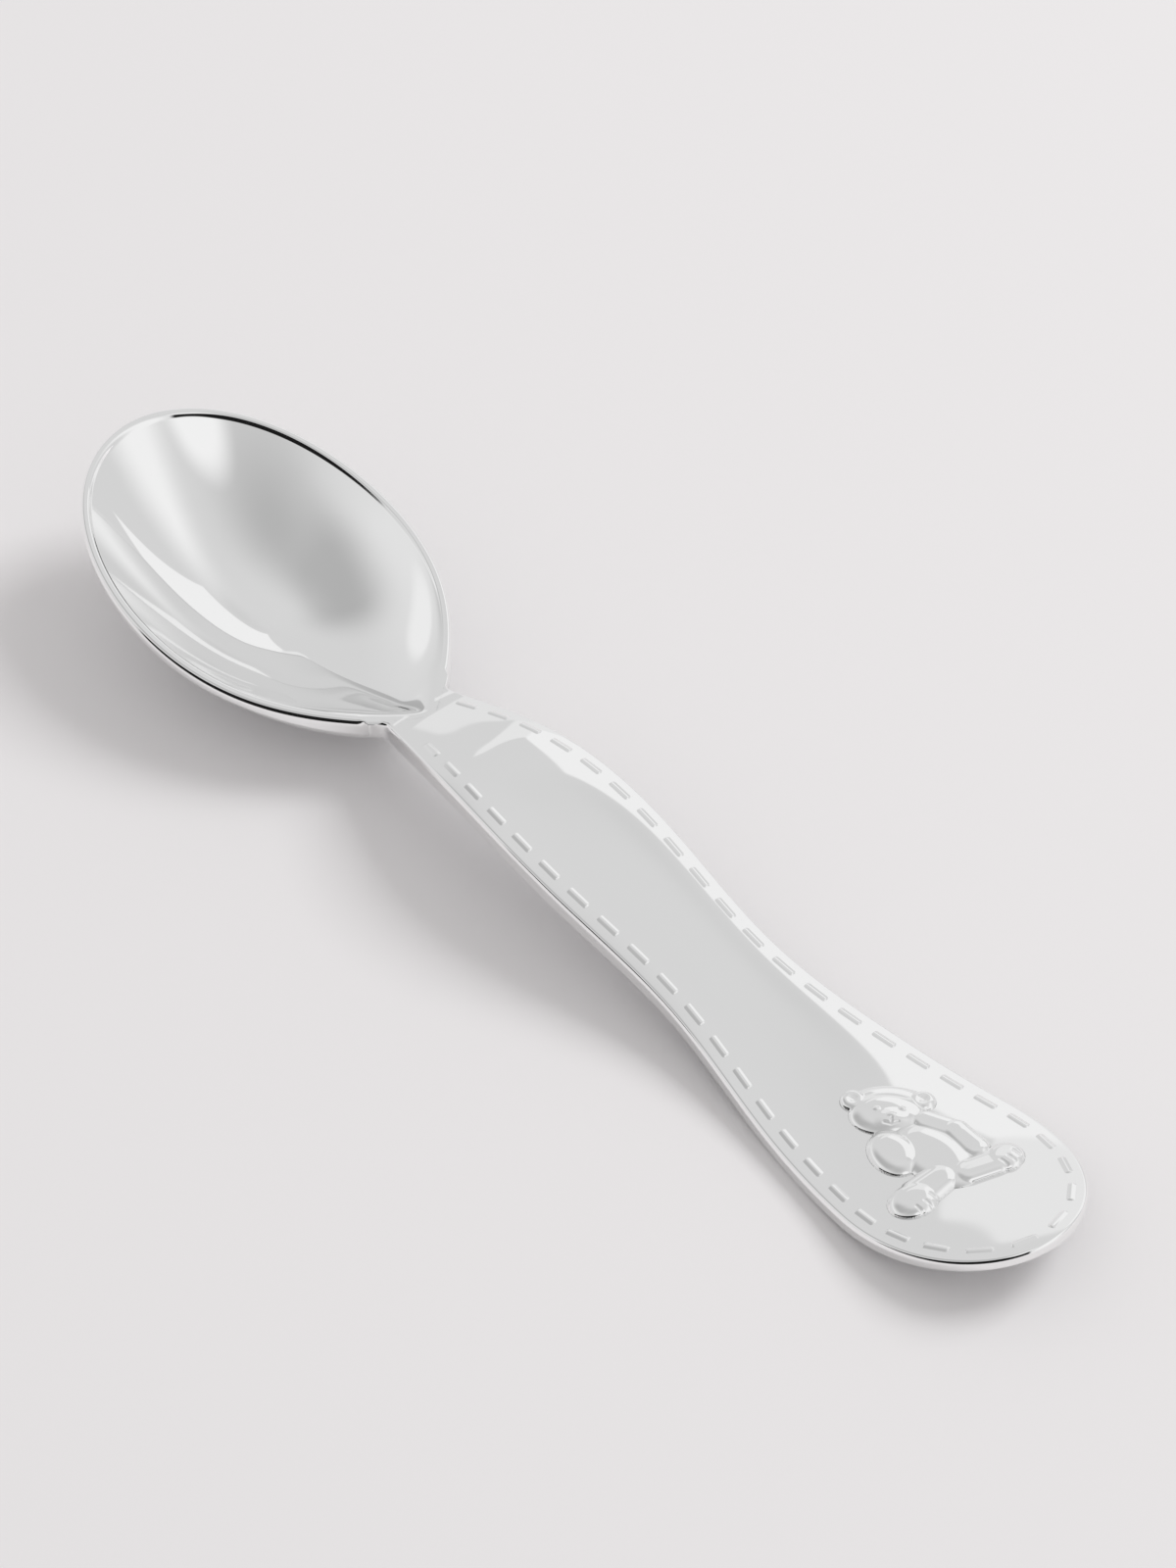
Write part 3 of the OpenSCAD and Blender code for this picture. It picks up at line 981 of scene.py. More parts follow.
@dataclass
class Stitches:
    """The row of raised stitches along the border of the handle."""

    form: SpoonForm
    # One stitch
    length: float = 2.7
    width: float = 0.84
    height: float = 0.135
    corner: float = 0.25
    end_l: float = 0.14
    side_power: float = 1.6
    # Their number, and how far behind the neck's corners the row starts on each side
    count: int = 45
    near_start: float = 6.1
    far_start: float = 2.7
    # Points of one stitch, and of the line that the row follows
    rows: int = 26
    row_spread: float = 1.5
    across: int = 11
    side_points: int = 400
    end_points: int = 200
    heading_l: float = 0.4
    middle_gap: float = 1e-3

    def half_track(self, start: float) -> tuple[Array, Array]:
        """The line of the stitches from the neck to the end, at a fixed distance inward.

        Args:
            start: Distance from the bowl's corner to its first point.

        Returns:
            s and distance from the middle line of close points along it.
        """
        form = self.form
        side = np.linspace(form.bowl_l + start, form.straight_s, self.side_points)
        s, half = form.inward(*form.round_the_end(side, self.end_points), form.stitch_inset)
        off_middle = half > self.middle_gap
        return s[off_middle], half[off_middle]

    def track(self) -> tuple[Array, Array, Array]:
        """The line of the stitches from the near side of the neck round to the far side.

        Returns:
            s and w of close points along it, and the length run up to each.
        """
        near_s, near_w = self.half_track(self.near_start)
        far_s, far_w = self.half_track(self.far_start)
        s, w = np.concatenate([near_s, far_s[::-1]]), np.concatenate([-near_w, far_w[::-1]])
        return s, w, np.concatenate([[0], np.cumsum(np.hypot(np.diff(s), np.diff(w)))])

    def build(self) -> bpy.types.Object:
        """Makes all stitches in one mesh, each a low rounded bar on the face.

        A stitch is a bar with rounded corners. Its height above the face is h (1 - d^2)^1.6,
        where d is the distance from its middle line as a share of its half width, times a
        smooth step at each end. Its underside lies below the face, so that no gap is left.

        Returns:
            The stitches.
        """
        form = self.form
        ts, tw, run = self.track()
        pitch = (run[-1] - self.length) / (self.count - 1)
        middle = (self.length / 2 + pitch * np.arange(self.count))[:, None, None]
        ms, mw = np.interp(middle, run, ts), np.interp(middle, run, tw)
        ahead, behind = middle + self.heading_l, middle - self.heading_l
        ds, dw = (np.interp(ahead, run, way) - np.interp(behind, run, way) for way in (ts, tw))
        size = np.hypot(ds, dw)
        ds, dw = ds / size, dw / size

        x = crowded(self.rows, self.row_spread)[:, None] * self.length / 2
        past = np.maximum(np.abs(x) - self.length / 2 + self.corner, 0.0)
        half = self.width / 2 - self.corner + np.sqrt(self.corner**2 - past**2)
        d = crowded(self.across, np.pi / 2)[None, :]
        end = ease((self.length / 2 - np.abs(x)) / self.end_l)
        rise = self.height * (1 - d**2) ** self.side_power * end
        y = half * d
        y = np.concatenate([y, y[:, ::-1]], axis=1)
        level = np.concatenate([rise, np.full_like(rise, -ROOT_DEPTH)], axis=1)

        s, w = ms + ds * x - dw * y, mw + dw * x + ds * y
        points = form.placed(s, w, form.face_height(s, w) + level).reshape(-1, 3)
        n = 2 * self.across
        cap = np.stack([np.zeros(n - 2, int), np.arange(1, n - 1), np.arange(2, n)], axis=1)
        caps = np.concatenate([cap, cap[:, ::-1] + (self.rows - 1) * n])
        start = np.arange(self.count)[:, None, None] * self.rows * n
        quads = (ring_faces(self.rows, n)[None] + start).reshape(-1, 4)
        return make_piece("stitch_border", points, quads, (caps[None] + start).reshape(-1, 3))


# ---------------------------------------------------------------------------
# Bear
# ---------------------------------------------------------------------------


def turned_axes(up: Array, across: Array, middle: Place, degrees: float) -> tuple[Array, Array]:
    """Places in turned axes: (c u + s v, c v - s u), with the turn's cosine c and sine s.

    Args:
        up: Places towards the bowl.
        across: Places to the far side.
        middle: Where the new axes cross.
        degrees: Turn of the new axes.

    Returns:
        Places up and across in the new axes.
    """
    c, s = math.cos(math.radians(degrees)), math.sin(math.radians(degrees))
    u, v = up - middle[0], across - middle[1]
    return c * u + s * v, c * v - s * u


def nearest(up: Array, across: Array, a: Place, b: Place) -> tuple[Array, Array]:
    """The nearest point of a straight piece, by the dot product over its squared length.

    Args:
        up: Places towards the bowl.
        across: Places to the far side.
        a: One end of the piece.
        b: Other end.

    Returns:
        Share of the way from a to b of the nearest point, and the distance to it.
    """
    du, dv = b[0] - a[0], b[1] - a[1]
    share = np.clip(((up - a[0]) * du + (across - a[1]) * dv) / (du * du + dv * dv), 0.0, 1.0)
    return share, np.hypot(up - a[0] - share * du, across - a[1] - share * dv)


def domed(height: float, out: Array) -> Array:
    """Height h (1 - d^4.4)^0.8 at a share d of the way out, falling on where d is above 1."""
    inside = 1 - out**DOME_FLATNESS
    return height * np.sign(inside) * np.abs(inside) ** DOME_ROUNDNESS


@dataclass(frozen=True)
class Dome:
    """One rounded form of the relief: an ellipse in plan, turned, with a domed height."""

    up: float
    across: float
    half_up: float
    half_across: float
    height: float
    turn: float = 0.0

    def rise(self, up: Array, across: Array) -> Array:
        """Domed height above the face, over the distance out in the ellipse."""
        p, q = turned_axes(up, across, (self.up, self.across), self.turn)
        return domed(self.height, np.hypot(p / self.half_up, q / self.half_across))


@dataclass(frozen=True)
class Limb:
    """A rounded limb between two places, with its own half width at each."""

    start: Place
    end: Place
    start_half: float
    end_half: float
    height: float

    def rise(self, up: Array, across: Array) -> Array:
        """Domed height above the face, over the distance from the limb's middle line.

        Args:
            up: Places towards the bowl, from the bear's middle.
            across: Places to the far side.

        Returns:
            Heights above the face.
        """
        share, away = nearest(up, across, self.start, self.end)
        half = self.start_half + (self.end_half - self.start_half) * share
        return domed(self.height, away / half)


@dataclass(frozen=True)
class Knob:
    """A small round rise, or a hollow where its height is below zero."""

    up: float
    across: float
    reach: float
    height: float
    stretch: Place = (1.0, 1.0)

    def rise(self, up: Array, across: Array) -> Array:
        """Height of a round bump over the distance, stretched up and across."""
        u, v = (up - self.up) * self.stretch[0], (across - self.across) * self.stretch[1]
        return self.height * bump(np.hypot(u, v), self.reach)


@dataclass(frozen=True)
class Groove:
    """A round groove along one or more straight pieces."""

    pieces: tuple[tuple[Place, Place], ...]
    reach: float
    depth: float

    def rise(self, up: Array, across: Array) -> Array:
        """A round bump below zero, over the distance to the nearest piece."""
        away = [nearest(up, across, *piece)[1] for piece in self.pieces]
        return -self.depth * bump(np.minimum.reduce(away), self.reach)


def toe_marks(tips: tuple[Place, ...], length: float, depth: float) -> tuple[Groove, ...]:
    """Short grooves that run up and a little to the near side from the tips of the toes."""
    lean, reach = 0.05, 0.26
    return tuple(Groove((((u, v), (u + length, v - lean)),), reach, depth) for u, v in tips)


@dataclass
class Bear:
    """The small seated bear, a low relief soldered on the end of the handle.

    Places on the bear are millimetres up, towards the bowl, and across, to the far side,
    from its middle. Those of the head's own forms lie in the head's turned axes.
    """

    form: SpoonForm
    middle_to_end: float = 19.4
    grid_up: tuple[float, float] = (-9.6, 11.6)
    grid_across: tuple[float, float] = (-8.8, 7.6)
    cell: float = 0.075
    crease: float = 0.1
    lowest: float = -0.06
    # Reach in cells and full depth in millimetres of the painted shade in the relief's hollows
    painted_shade_cells: int = 5
    painted_shade_depth: float = 0.3
    trunk: Dome = Dome(-1.9, 0.5, 5.6, 3.3, 0.78, 4.0)
    limbs: tuple[Limb | Dome, ...] = (
        Dome(1.15, -2.2, 3.3, 2.45, 0.95, 12.0),
        Limb((2.2, 3.0), (-0.8, 4.2), 1.45, 1.5, 0.8),
        Limb((-0.8, 4.2), (-3.9, 3.8), 1.5, 1.6, 0.84),
        Limb((-4.6, -1.6), (-4.7, -4.2), 2.0, 2.2, 0.8),
        Dome(-5.0, -5.3, 2.35, 2.65, 0.9, 12.0),
        Limb((-5.9, 1.0), (-6.8, 3.6), 1.75, 1.8, 0.78),
        Dome(-6.95, 4.8, 2.05, 2.1, 0.86, -10.0),
    )
    toes: tuple[Groove, ...] = toe_marks(((-6.9, -3.9), (-7.3, -4.9), (-7.2, -6.0)), 1.0, 0.09)
    far_toes: tuple[Groove, ...] = toe_marks(((-8.3, 3.9), (-8.5, 4.8), (-8.2, 5.7)), 0.9, 0.08)
    head: Place = (5.2, 1.0)
    head_turn: float = 42.0
    skull: Dome = Dome(0.1, -0.2, 2.75, 3.85, 0.95)
    brow: Dome = Dome(1.7, 0.0, 2.3, 4.1, 0.56)
    brow_blend: float = 0.35
    ears: tuple[tuple[Dome, Knob], ...] = (
        (Dome(1.9, -3.55, 1.35, 1.35, 0.7), Knob(1.9, -3.55, 0.85, -0.2)),
        (Dome(1.9, 3.3, 1.35, 1.35, 0.7), Knob(1.9, 3.3, 0.85, -0.2)),
    )
    ear_blend: float = 0.2
    muzzle: Knob = Knob(-1.0, 0.15, 1.5, 0.2, (1.0, 0.8))
    near_eye: Knob = Knob(0.2, -1.28, 0.42, 0.16, (1.1, 1.0))
    far_eye: Knob = Knob(0.2, 1.28, 0.42, 0.16, (1.1, 1.0))
    nose: Knob = Knob(-0.72, 0.2, 0.5, 0.14, (1.25, 0.8))
    mouth: Groove = Groove(
        (
            ((-1.55, -0.55), (-1.75, 0.15)),
            ((-1.75, 0.15), (-1.5, 0.85)),
            ((-1.1, 0.18), (-1.75, 0.15)),
        ),
        0.24,
        0.12,
    )

    def head_rise(self, up: Array, across: Array) -> Array:
        """Height of the head: skull, brow and ears blended, and the marks of the face added.

        Args:
            up: Places towards the bowl.
            across: Places to the far side.

        Returns:
            Heights above the face.
        """
        y, x = turned_axes(up, across, self.head, self.head_turn)
        made = higher_of(self.skull.rise(y, x), self.brow.rise(y, x), self.brow_blend)
        ears = [ear.rise(y, x) + hollow.rise(y, x) for ear, hollow in self.ears]
        made = higher_of(made, np.maximum(*ears), self.ear_blend)
        for mark in (self.muzzle, self.near_eye, self.far_eye, self.nose, self.mouth):
            made = made + mark.rise(y, x)
        return made

    def relief(self, up: Array, across: Array) -> Array:
        """Height of the whole bear above the handle's face.

        The highest of all forms is taken at each place, and the corners between them are
        rounded a little, so that each form keeps a clear crease round it.

        Args:
            up: Places towards the bowl.
            across: Places to the far side.

        Returns:
            Heights above the face.
        """
        made = self.trunk.rise(up, across)
        for limb in self.limbs:
            made = higher_of(made, limb.rise(up, across), self.crease)
        made = higher_of(made, self.head_rise(up, across), self.crease)
        for toe in self.toes + self.far_toes:
            made = made + toe.rise(up, across)
        return made

    def build(self) -> bpy.types.Object:
        """Makes the relief from a square grid, keeping the cells that rise above the face.

        The top of each kept cell follows the face plus the relief, its underside lies a
        little below the face, and walls close the two along the border of the kept cells.

        Returns:
            The bear.
        """
        form = self.form
        up, across = (np.arange(*span, self.cell) for span in (self.grid_up, self.grid_across))
        u, w = np.meshgrid(up, across, indexing="ij")
        rise = self.relief(u, w)
        shown = rise > self.lowest
        keep = shown[:-1, :-1] & shown[1:, :-1] & shown[:-1, 1:] & shown[1:, 1:]
        s = form.spoon_l - self.middle_to_end - u
        face = form.face_height(s, w)
        levels = np.stack([face + rise, face - ROOT_DEPTH])
        points = form.placed(s, w, levels).reshape(-1, 3)

        below = rise.size
        number = np.arange(below).reshape(rise.shape)
        cell = (number[:-1, :-1], number[1:, :-1], number[1:, 1:], number[:-1, 1:])
        cell = np.stack(cell, axis=-1)[keep]
        top = cell[:, ::-1]
        edge = np.stack([top.T.ravel(), np.roll(top, -1, axis=1).T.ravel()], axis=1)
        shared = np.isin(edge[:, 0] * below + edge[:, 1], edge[:, 1] * below + edge[:, 0])
        a, b = edge[~shared].T
        walls = np.stack([b, a, a + below, b + below], axis=1)
        used, quads = np.unique(np.concatenate([top, cell + below, walls]), return_inverse=True)
        quads = quads.reshape(-1, 4)
        # Painted shade: hollows between the forms get a darker colour, and the underside and the
        # walls down to it the full painted shade
        painted_recess_shade = np.concatenate([self.recess_shade_share(rise).ravel(), np.ones(below)])
        return make_piece("bear_relief", points[used], quads, painted_recess_shade=painted_recess_shade[used])

    def recess_shade_share(self, rise: Array) -> Array:
        """How much lower each place lies than its surroundings, from 0 to 1, which sets its
        painted shade.

        The mean height of a square neighbourhood, taken from running sums, less the height.

        Args:
            rise: Heights above the face.

        Returns:
            Share of the full painted shade at each place.
        """
        level = np.clip(rise, 0.0, None)
        wide = np.pad(level, self.painted_shade_cells + 1, mode="edge")
        size = 2 * self.painted_shade_cells + 1
        total = wide.cumsum(0).cumsum(1)
        total = total[size:] - total[:-size]
        total = total[:, size:] - total[:, :-size]
        mean = total[: level.shape[0], : level.shape[1]] / size**2
        return np.clip((mean - level) / self.painted_shade_depth, 0.0, 1.0)


# ---------------------------------------------------------------------------
# Finishes
# ---------------------------------------------------------------------------


@dataclass(frozen=True)
class Wiring:
    """Adds nodes to one shader tree, with their settings, links and plain values."""

    tree: bpy.types.NodeTree

    def feed(self, node: bpy.types.Node, inputs: dict[str | int, Feed]) -> None:
        """Fills inputs of a node.

        Args:
            node: The node.
            inputs: For each input, by name or number, a socket to link or a plain value.
        """
        for key, value in inputs.items():
            if isinstance(value, bpy.types.NodeSocket):
                self.tree.links.new(value, node.inputs[key])
            else:
                node.inputs[key].default_value = value

    def add(self, kind: str, inputs: dict[str | int, Feed], **settings: object) -> bpy.types.Node:
        """Adds one node.

        Args:
            kind: Kind of the node.
            inputs: For each input, by name or number, a socket to link or a plain value.
            settings: Other settings of the node, made before its inputs are filled.

        Returns:
            The node.
        """
        node = self.tree.nodes.new(kind)
        for name, value in settings.items():
            setattr(node, name, value)
        self.feed(node, inputs)
        return node

    def maths(self, kind: str, a: Feed, b: Feed = 0.0) -> bpy.types.NodeSocket:
        """One sum of two sockets or plain numbers."""
        return self.add("ShaderNodeMath", {0: a, 1: b}, operation=kind).outputs[0]


@dataclass(frozen=True)
class PolishGroup:
    """Shader node group of polished silver: fine wipe marks, haze, and painted shade that darkens
    recesses.
    """

    name: str = "polished_silver_wear_and_shade"
    cloud_grain: Triple = (90.0, 140.0, 90.0)
    wipe_grain: Triple = (130.0, 1500.0, 800.0)
    wave_grain: Triple = (45.0, 170.0, 90.0)
    wipe_share: float = 0.02
    recess_dullness: float = 0.25
    given: tuple[tuple[str, str, tuple[float, ...] | float], ...] = (
        ("Silver", "NodeSocketColor", (0.95, 0.95, 0.95, 1)),
        # Colour and share of the painted shade in recesses
        ("Painted shade colour", "NodeSocketColor", (0.3, 0.3, 0.3, 1)),
        ("Painted shade share", "NodeSocketFloat", 0.0),
        ("Gloss", "NodeSocketFloat", 0.05),
        ("Haze", "NodeSocketFloat", 0.05),
        ("Marks", "NodeSocketFloat", 1.0),
    )
    result: tuple[tuple[str, str], ...] = (
        ("Colour", "NodeSocketColor"),
        ("Roughness", "NodeSocketFloat"),
        ("Height", "NodeSocketFloat"),
    )

    def build(self) -> bpy.types.NodeTree:
        """Makes the group once and gives it back on later calls.

        Roughness is gloss plus haze times clouds, and more in recesses. Height is slow waves
        and a little of the wipe marks, all times the amount of marks. The colour is silver
        darkened to the shade colour in recesses, as painted shade.

        Returns:
            The node group, with Colour, Roughness and Height going out.
        """
        made = bpy.data.node_groups.get(self.name)
        if made:
            return made
        tree = bpy.data.node_groups.new(self.name, "ShaderNodeTree")
        for label, kind, default in self.given:
            socket = tree.interface.new_socket(label, in_out="INPUT", socket_type=kind)
            socket.default_value = default
        for label, kind in self.result:
            tree.interface.new_socket(label, in_out="OUTPUT", socket_type=kind)
        wiring = Wiring(tree)
        given = wiring.add("NodeGroupInput", {}).outputs
        place = wiring.add("ShaderNodeTexCoord", {}).outputs["Object"]

        def noise(grain: Triple, detail: float) -> bpy.types.NodeSocket:
            """Noise on object coordinates.

            Args:
                grain: Scale of the noise along each axis.
                detail: How many finer layers it has.

            Returns:
                The socket with the noise.
            """
            mapping = wiring.add("ShaderNodeMapping", {"Vector": place, "Scale": grain})
            inputs = {"Vector": mapping.outputs["Vector"], "Scale": 1.0, "Detail": detail}
            return wiring.add("ShaderNodeTexNoise", inputs).outputs["Fac"]

        clouds = noise(self.cloud_grain, detail=3.0)
        wipes = noise(self.wipe_grain, detail=4.0)
        waves = noise(self.wave_grain, detail=1.0)
        haze = wiring.maths("MULTIPLY", clouds, given["Haze"])
        dull = wiring.maths("MULTIPLY", given["Painted shade share"], self.recess_dullness)
        rough = wiring.maths("ADD", wiring.maths("ADD", given["Gloss"], haze), dull)
        # Painted shade: the silver turns to the shade colour by the share of painted shade
        colours = {0: given["Painted shade share"], 6: given["Silver"], 7: given["Painted shade colour"]}
        painted_shade_mix = wiring.add("ShaderNodeMix", colours, data_type="RGBA")
        fine = wiring.maths("MULTIPLY", wipes, self.wipe_share)
        height = wiring.maths("MULTIPLY", wiring.maths("ADD", fine, waves), given["Marks"])
        result = {"Colour": painted_shade_mix.outputs[2], "Roughness": rough, "Height": height}
        wiring.add("NodeGroupOutput", result)
        return tree


@dataclass(frozen=True)
class SilverFinish:
    """Polished silver with its own amount of haze, wipe marks and painted shade in recesses."""

    name: str
    silver: Triple = (0.955, 0.955, 0.955)
    # Colour that the painted shade in recesses darkens the silver to
    painted_recess_shade: Triple = (0.45, 0.45, 0.45)
    gloss: float = 0.03
    haze: float = 0.03
    marks: float = 0.5
    mark_depth: float = 0.02

    def build(self) -> bpy.types.Material:
        """Makes the material.

        Returns:
            The material.
        """
        made = bpy.data.materials.new(self.name)
        made.use_nodes = True
        wiring = Wiring(made.node_tree)
        # Share of painted shade at each point, read from the mesh
        depth = wiring.add("ShaderNodeAttribute", {}, attribute_name="painted_recess_shade")
        wear_and_shade = {
            "Silver": (*self.silver, 1.0),
            "Painted shade colour": (*self.painted_recess_shade, 1.0),
            "Painted shade share": depth.outputs["Fac"],
            "Gloss": self.gloss,
            "Haze": self.haze,
            "Marks": self.marks,
        }
        group = wiring.add("ShaderNodeGroup", wear_and_shade, node_tree=PolishGroup().build())
        height = group.outputs["Height"]
        relief = {"Strength": 1.0, "Distance": self.mark_depth * MM, "Height": height}
        metal = {
            "Metallic": 1.0,
            "Base Color": group.outputs["Colour"],
            "Roughness": group.outputs["Roughness"],
            "Normal": wiring.add("ShaderNodeBump", relief).outputs["Normal"],
        }
        wiring.feed(made.node_tree.nodes["Principled BSDF"], metal)
        return made


# ---------------------------------------------------------------------------
# Studio
# ---------------------------------------------------------------------------


def linear(level: float) -> float:
    """Light of a screen level from 0 to 255, as ((v / 255 + 0.055) / 1.055)^2.4."""
    return ((level / 255 + 0.055) / 1.055) ** 2.4


@dataclass(frozen=True)
class Pane:
    """A soft edged window or wall of the room, seen between its corners' directions.

    Each corner is a turn to the right of the view and a height above the horizon, both in
    degrees. The softness is the width of the blurred edge in degrees.
    """

    corners: tuple[Place, ...]
    softness: float
    level: float


@dataclass(frozen=True)
class Glow:
    """A round soft patch of the room: full within the inner angle, gone at the outer one."""

    middle: Place
    inner: float
    outer: float
    level: float


@dataclass
class Room:
    """The plain room round the spoon, as the polished metal mirrors it."""

    facing: float
    base_level: float = 214.5
    parts: tuple[Pane | Glow, ...] = (
        Glow((-78, 46), 16, 40, 179),
        Glow((-6, 70), 0, 40, 217),
        Glow((-145, 58), 2, 48, 183),
        Pane(((41, 58), (126, 43), (174, -31), (108, -2)), 28, 244),
        Pane(((-133, 29), (-38, 20), (-17, 7), (-90, 10)), 24, 229),
        Pane(((150, 20), (230, 20), (262, 8), (262, -8), (150, -8)), 5, 25),
        Glow((161, 34), 10, 23, 245),
        Pane(((-97, 20), (-40, 16), (-31, 12), (-100, 16)), 1.4, 240),
        Pane(((14, 54.5), (39, 57), (34, 50.5), (7, 51)), 14, 204),
        Pane(((-10.5, 32), (1, 30), (20, 6), (4, 8), (-9, 28.5)), 0.8, 233),
        Pane(((-13, 19.5), (-6, 19.5), (4, 14), (4, 6), (-14, 6)), 1.0, 229),
        Pane(((8, 47), (0, 35), (-1.3, 31), (3, 21), (60, 12), (50, 47)), 1.0, 243),
    )

    def direction(self, place: Place) -> Vector:
        """Direction of a turn and a height in the spoon's own frame.

        Args:
            place: Turn to the right of the view and height above the horizon, in degrees.

        Returns:
            A unit vector.
        """
        turn, height = math.radians(place[0]), math.radians(place[1])
        right, away = math.sin(turn) * math.cos(height), math.cos(turn) * math.cos(height)
        c, s = math.cos(math.radians(self.facing)), math.sin(math.radians(self.facing))
        return Vector((right * c - away * s, right * s + away * c, math.sin(height)))

    def build(self, wiring: Wiring) -> bpy.types.NodeSocket:
        """Adds the nodes that give the room's light in every direction.

        A pane's share is the product of one smooth step for each of its sides, on the dot
        product of the direction with that side's plane. A glow's share is one smooth step
        on the angle to its middle. Each part is laid over those before it by its share.

        Args:
            wiring: Wiring of the world's node tree.

        Returns:
            The socket with the room's light.
        """
        view = wiring.add("ShaderNodeTexCoord", {}).outputs["Generated"]

        def toward(way: Vector) -> bpy.types.NodeSocket:
            """Dot product of the direction looked in and a fixed one."""
            made = wiring.add("ShaderNodeVectorMath", {0: view, 1: way}, operation="DOT_PRODUCT")
            return made.outputs["Value"]

        def step(value: bpy.types.NodeSocket, low: float, high: float) -> bpy.types.NodeSocket:
            """Smooth step of a value: 3u^2 - 2u^3 for the share u of the way.

            Args:
                value: The value.
                low: Where the step starts from 0.
                high: Where it ends at 1.

            Returns:
                The socket with the step.
            """
            inputs = {"Value": value, "From Min": low, "From Max": high}
            made = wiring.add("ShaderNodeMapRange", inputs, interpolation_type="SMOOTHSTEP")
            return made.outputs["Result"]

        def share(part: Pane | Glow) -> bpy.types.NodeSocket:
            """How far a part covers the room in the direction looked in.

            Args:
                part: The part.

            Returns:
                The socket with its share, from 0 to 1.
            """
            if isinstance(part, Glow):
                angle = wiring.maths("ARCCOSINE", toward(self.direction(part.middle)))
                near = wiring.maths("MULTIPLY", angle, -1.0)
                return step(near, -math.radians(part.outer), -math.radians(part.inner))
            ways = [self.direction(corner) for corner in part.corners]
            middle = sum(ways, Vector())
            half = math.sin(math.radians(part.softness)) / 2
            made = None
            for way, following in zip(ways, ways[1:] + ways[:1]):
                side = way.cross(following).normalized()
                side = side if side.dot(middle) > 0 else -side
                inside = step(toward(side), -half, half)
                made = inside if made is None else wiring.maths("MULTIPLY", made, inside)
            return made

        light = linear(self.base_level)
        for part in self.parts:
            inputs = {0: share(part), 2: light, 3: linear(part.level)}
            light = wiring.add("ShaderNodeMix", inputs, data_type="FLOAT").outputs[0]
        return light


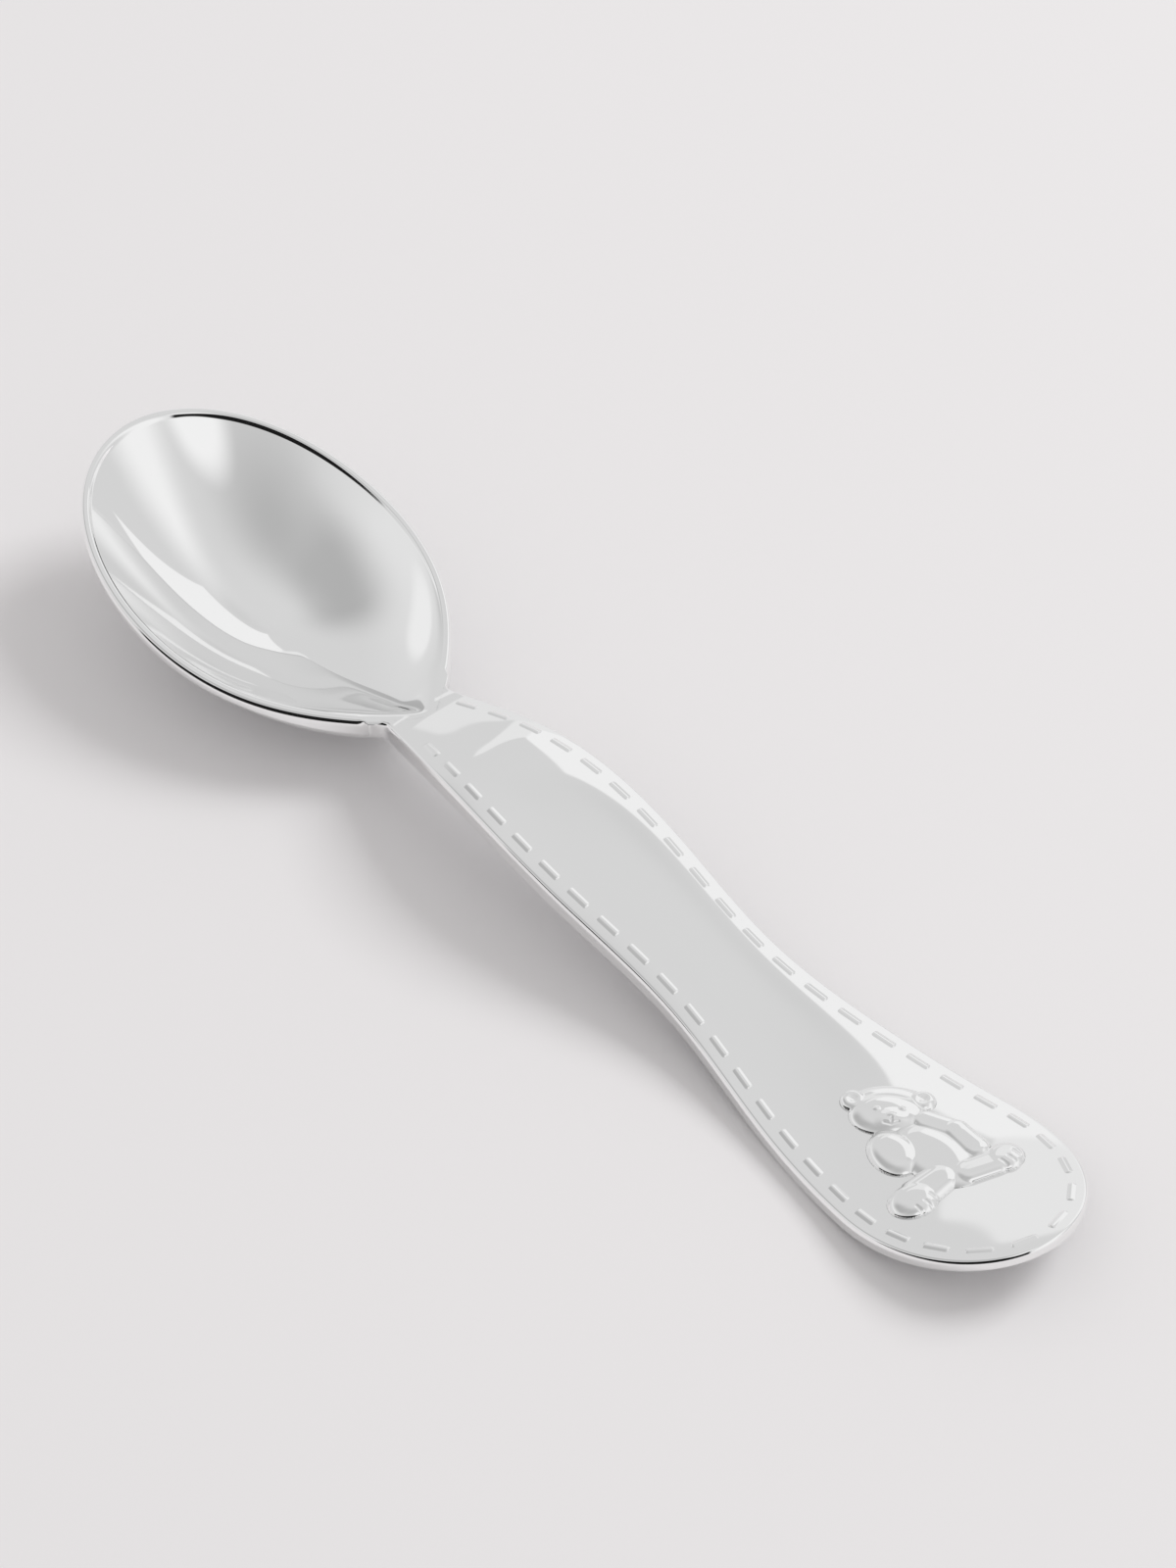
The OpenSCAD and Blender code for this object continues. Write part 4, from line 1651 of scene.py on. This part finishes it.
@dataclass
class Studio:
    """Camera, floor, lamp and the soft surroundings that the metal mirrors.

    The camera's place is given in millimetres and degrees, floor and lamp in metres.
    """

    target: Triple = (-8.734, 10.46, 0.277)
    distance: float = 570.57
    elevation: float = 44.382
    azimuth: float = 51.087
    roll: float = 2.0475
    lens: float = 125.58
    sensor: float = 36.0
    clip: tuple[float, float] = (0.01, 20.0)
    floor_half: float = 3.0
    floor_colour: Triple = (0.79, 0.782, 0.79)
    floor_roughness: float = 0.9
    floor_specular: float = 0.2
    lamp_place: Triple = (0.3, 1.2, 1.13)
    lamp_size: float = 0.75
    lamp_power: float = 13.5
    sky_colour: Triple = (0.70, 0.685, 0.68)

    def backward(self) -> Vector:
        """Direction from the spoon to the camera."""
        a, e = math.radians(self.azimuth), math.radians(self.elevation)
        return Vector((math.sin(a) * math.cos(e), -math.cos(a) * math.cos(e), math.sin(e)))

    def build_camera(self) -> None:
        """Places the camera where the photograph was taken from.

        It looks at the target, with its level right and upright directions turned by the roll.
        """
        data = bpy.data.cameras.new("camera")
        data.sensor_width = self.sensor
        data.lens = self.lens
        data.clip_start, data.clip_end = self.clip
        camera = bpy.data.objects.new("camera", data)
        back = self.backward()
        level = Vector((0, 0, 1)).cross(back).normalized()
        upright = back.cross(level)
        r = math.radians(self.roll)
        right = level * math.cos(r) - upright * math.sin(r)
        top = level * math.sin(r) + upright * math.cos(r)
        place = (Vector(self.target) + back * self.distance) * MM
        turned = Matrix((right, top, back)).transposed().to_4x4()
        camera.matrix_world = Matrix.Translation(place) @ turned
        bpy.context.scene.collection.objects.link(camera)
        bpy.context.scene.camera = camera

    def build_floor(self) -> None:
        """Makes a wide, plain, pale floor under the spoon."""
        half = self.floor_half
        mesh = bpy.data.meshes.new("floor")
        corners = [(-half, -half, 0), (half, -half, 0), (half, half, 0), (-half, half, 0)]
        mesh.from_pydata(corners, [], [(0, 1, 2, 3)])
        floor = bpy.data.objects.new("floor", mesh)
        bpy.context.scene.collection.objects.link(floor)
        made = bpy.data.materials.new("floor_pale")
        made.use_nodes = True
        pale = {
            "Base Color": (*self.floor_colour, 1.0),
            "Roughness": self.floor_roughness,
            "Specular IOR Level": self.floor_specular,
        }
        Wiring(made.node_tree).feed(made.node_tree.nodes["Principled BSDF"], pale)
        mesh.materials.append(made)

    def build_lamp(self) -> None:
        """Hangs a square soft lamp that looks at the spoon and isn't mirrored itself."""
        data = bpy.data.lights.new("key_lamp", "AREA")
        data.size = self.lamp_size
        data.energy = self.lamp_power
        lamp = bpy.data.objects.new("key_lamp", data)
        lamp.location = self.lamp_place
        lamp.rotation_mode = "QUATERNION"
        lamp.rotation_quaternion = Vector(self.lamp_place).to_track_quat("Z", "Y")
        lamp.visible_glossy = False
        bpy.context.scene.collection.objects.link(lamp)

    def build_world(self) -> None:
        """Gives even pale light, and the soft room that only mirrored rays see."""
        world = bpy.data.worlds.new("room")
        bpy.context.scene.world = world
        world.use_nodes = True
        nodes, wiring = world.node_tree.nodes, Wiring(world.node_tree)
        plain = nodes["Background"]
        wiring.feed(plain, {"Color": (*self.sky_colour, 1.0), "Strength": 1.0})
        room = {"Color": Room(self.azimuth).build(wiring), "Strength": 1.0}
        mirrored = wiring.add("ShaderNodeBackground", room)
        path = wiring.add("ShaderNodeLightPath", {})
        choice = {0: path.outputs["Is Glossy Ray"], 1: plain.outputs[0], 2: mirrored.outputs[0]}
        surface = wiring.add("ShaderNodeMixShader", choice).outputs[0]
        wiring.feed(nodes["World Output"], {"Surface": surface})

    def build(self) -> None:
        """Builds the whole studio."""
        self.build_camera()
        self.build_floor()
        self.build_lamp()
        self.build_world()
        bpy.context.scene.view_settings.view_transform = "Standard"


# ---------------------------------------------------------------------------
# Putting it together
# ---------------------------------------------------------------------------


BOWL_SILVER = SilverFinish("silver_bowl")
HANDLE_SILVER = SilverFinish("silver_handle")
# The bear's painted shade in its hollows is a light grey
BEAR_SILVER = SilverFinish("silver_bear", painted_recess_shade=(0.8, 0.8, 0.8), marks=0.3)


def dress(piece: bpy.types.Object, finish: SilverFinish, node: str | None) -> None:
    """Gives a piece its metal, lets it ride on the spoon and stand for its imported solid.

    Args:
        piece: The piece.
        finish: Its finish.
        node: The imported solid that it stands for, or None for a piece of its own.
    """
    made = bpy.data.materials.get(finish.name) or finish.build()
    piece.data.materials.append(made)
    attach(piece, BODY)
    if node:
        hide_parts(node)
    log.info("%s: %d faces", piece.name, len(piece.data.polygons))


def main() -> None:
    """Builds the studio and every piece of the spoon, in order."""
    logging.basicConfig(level=logging.INFO, format="%(name)s: %(message)s")
    form = SpoonForm()
    Studio().build()
    dress(Bowl(form).build(), BOWL_SILVER, "bowl")
    dress(Handle(form).build(), HANDLE_SILVER, "handle")
    dress(Stitches(form).build(), HANDLE_SILVER, None)
    dress(Bear(form).build(), BEAR_SILVER, "bear")


if __name__ == "__main__":
    main()
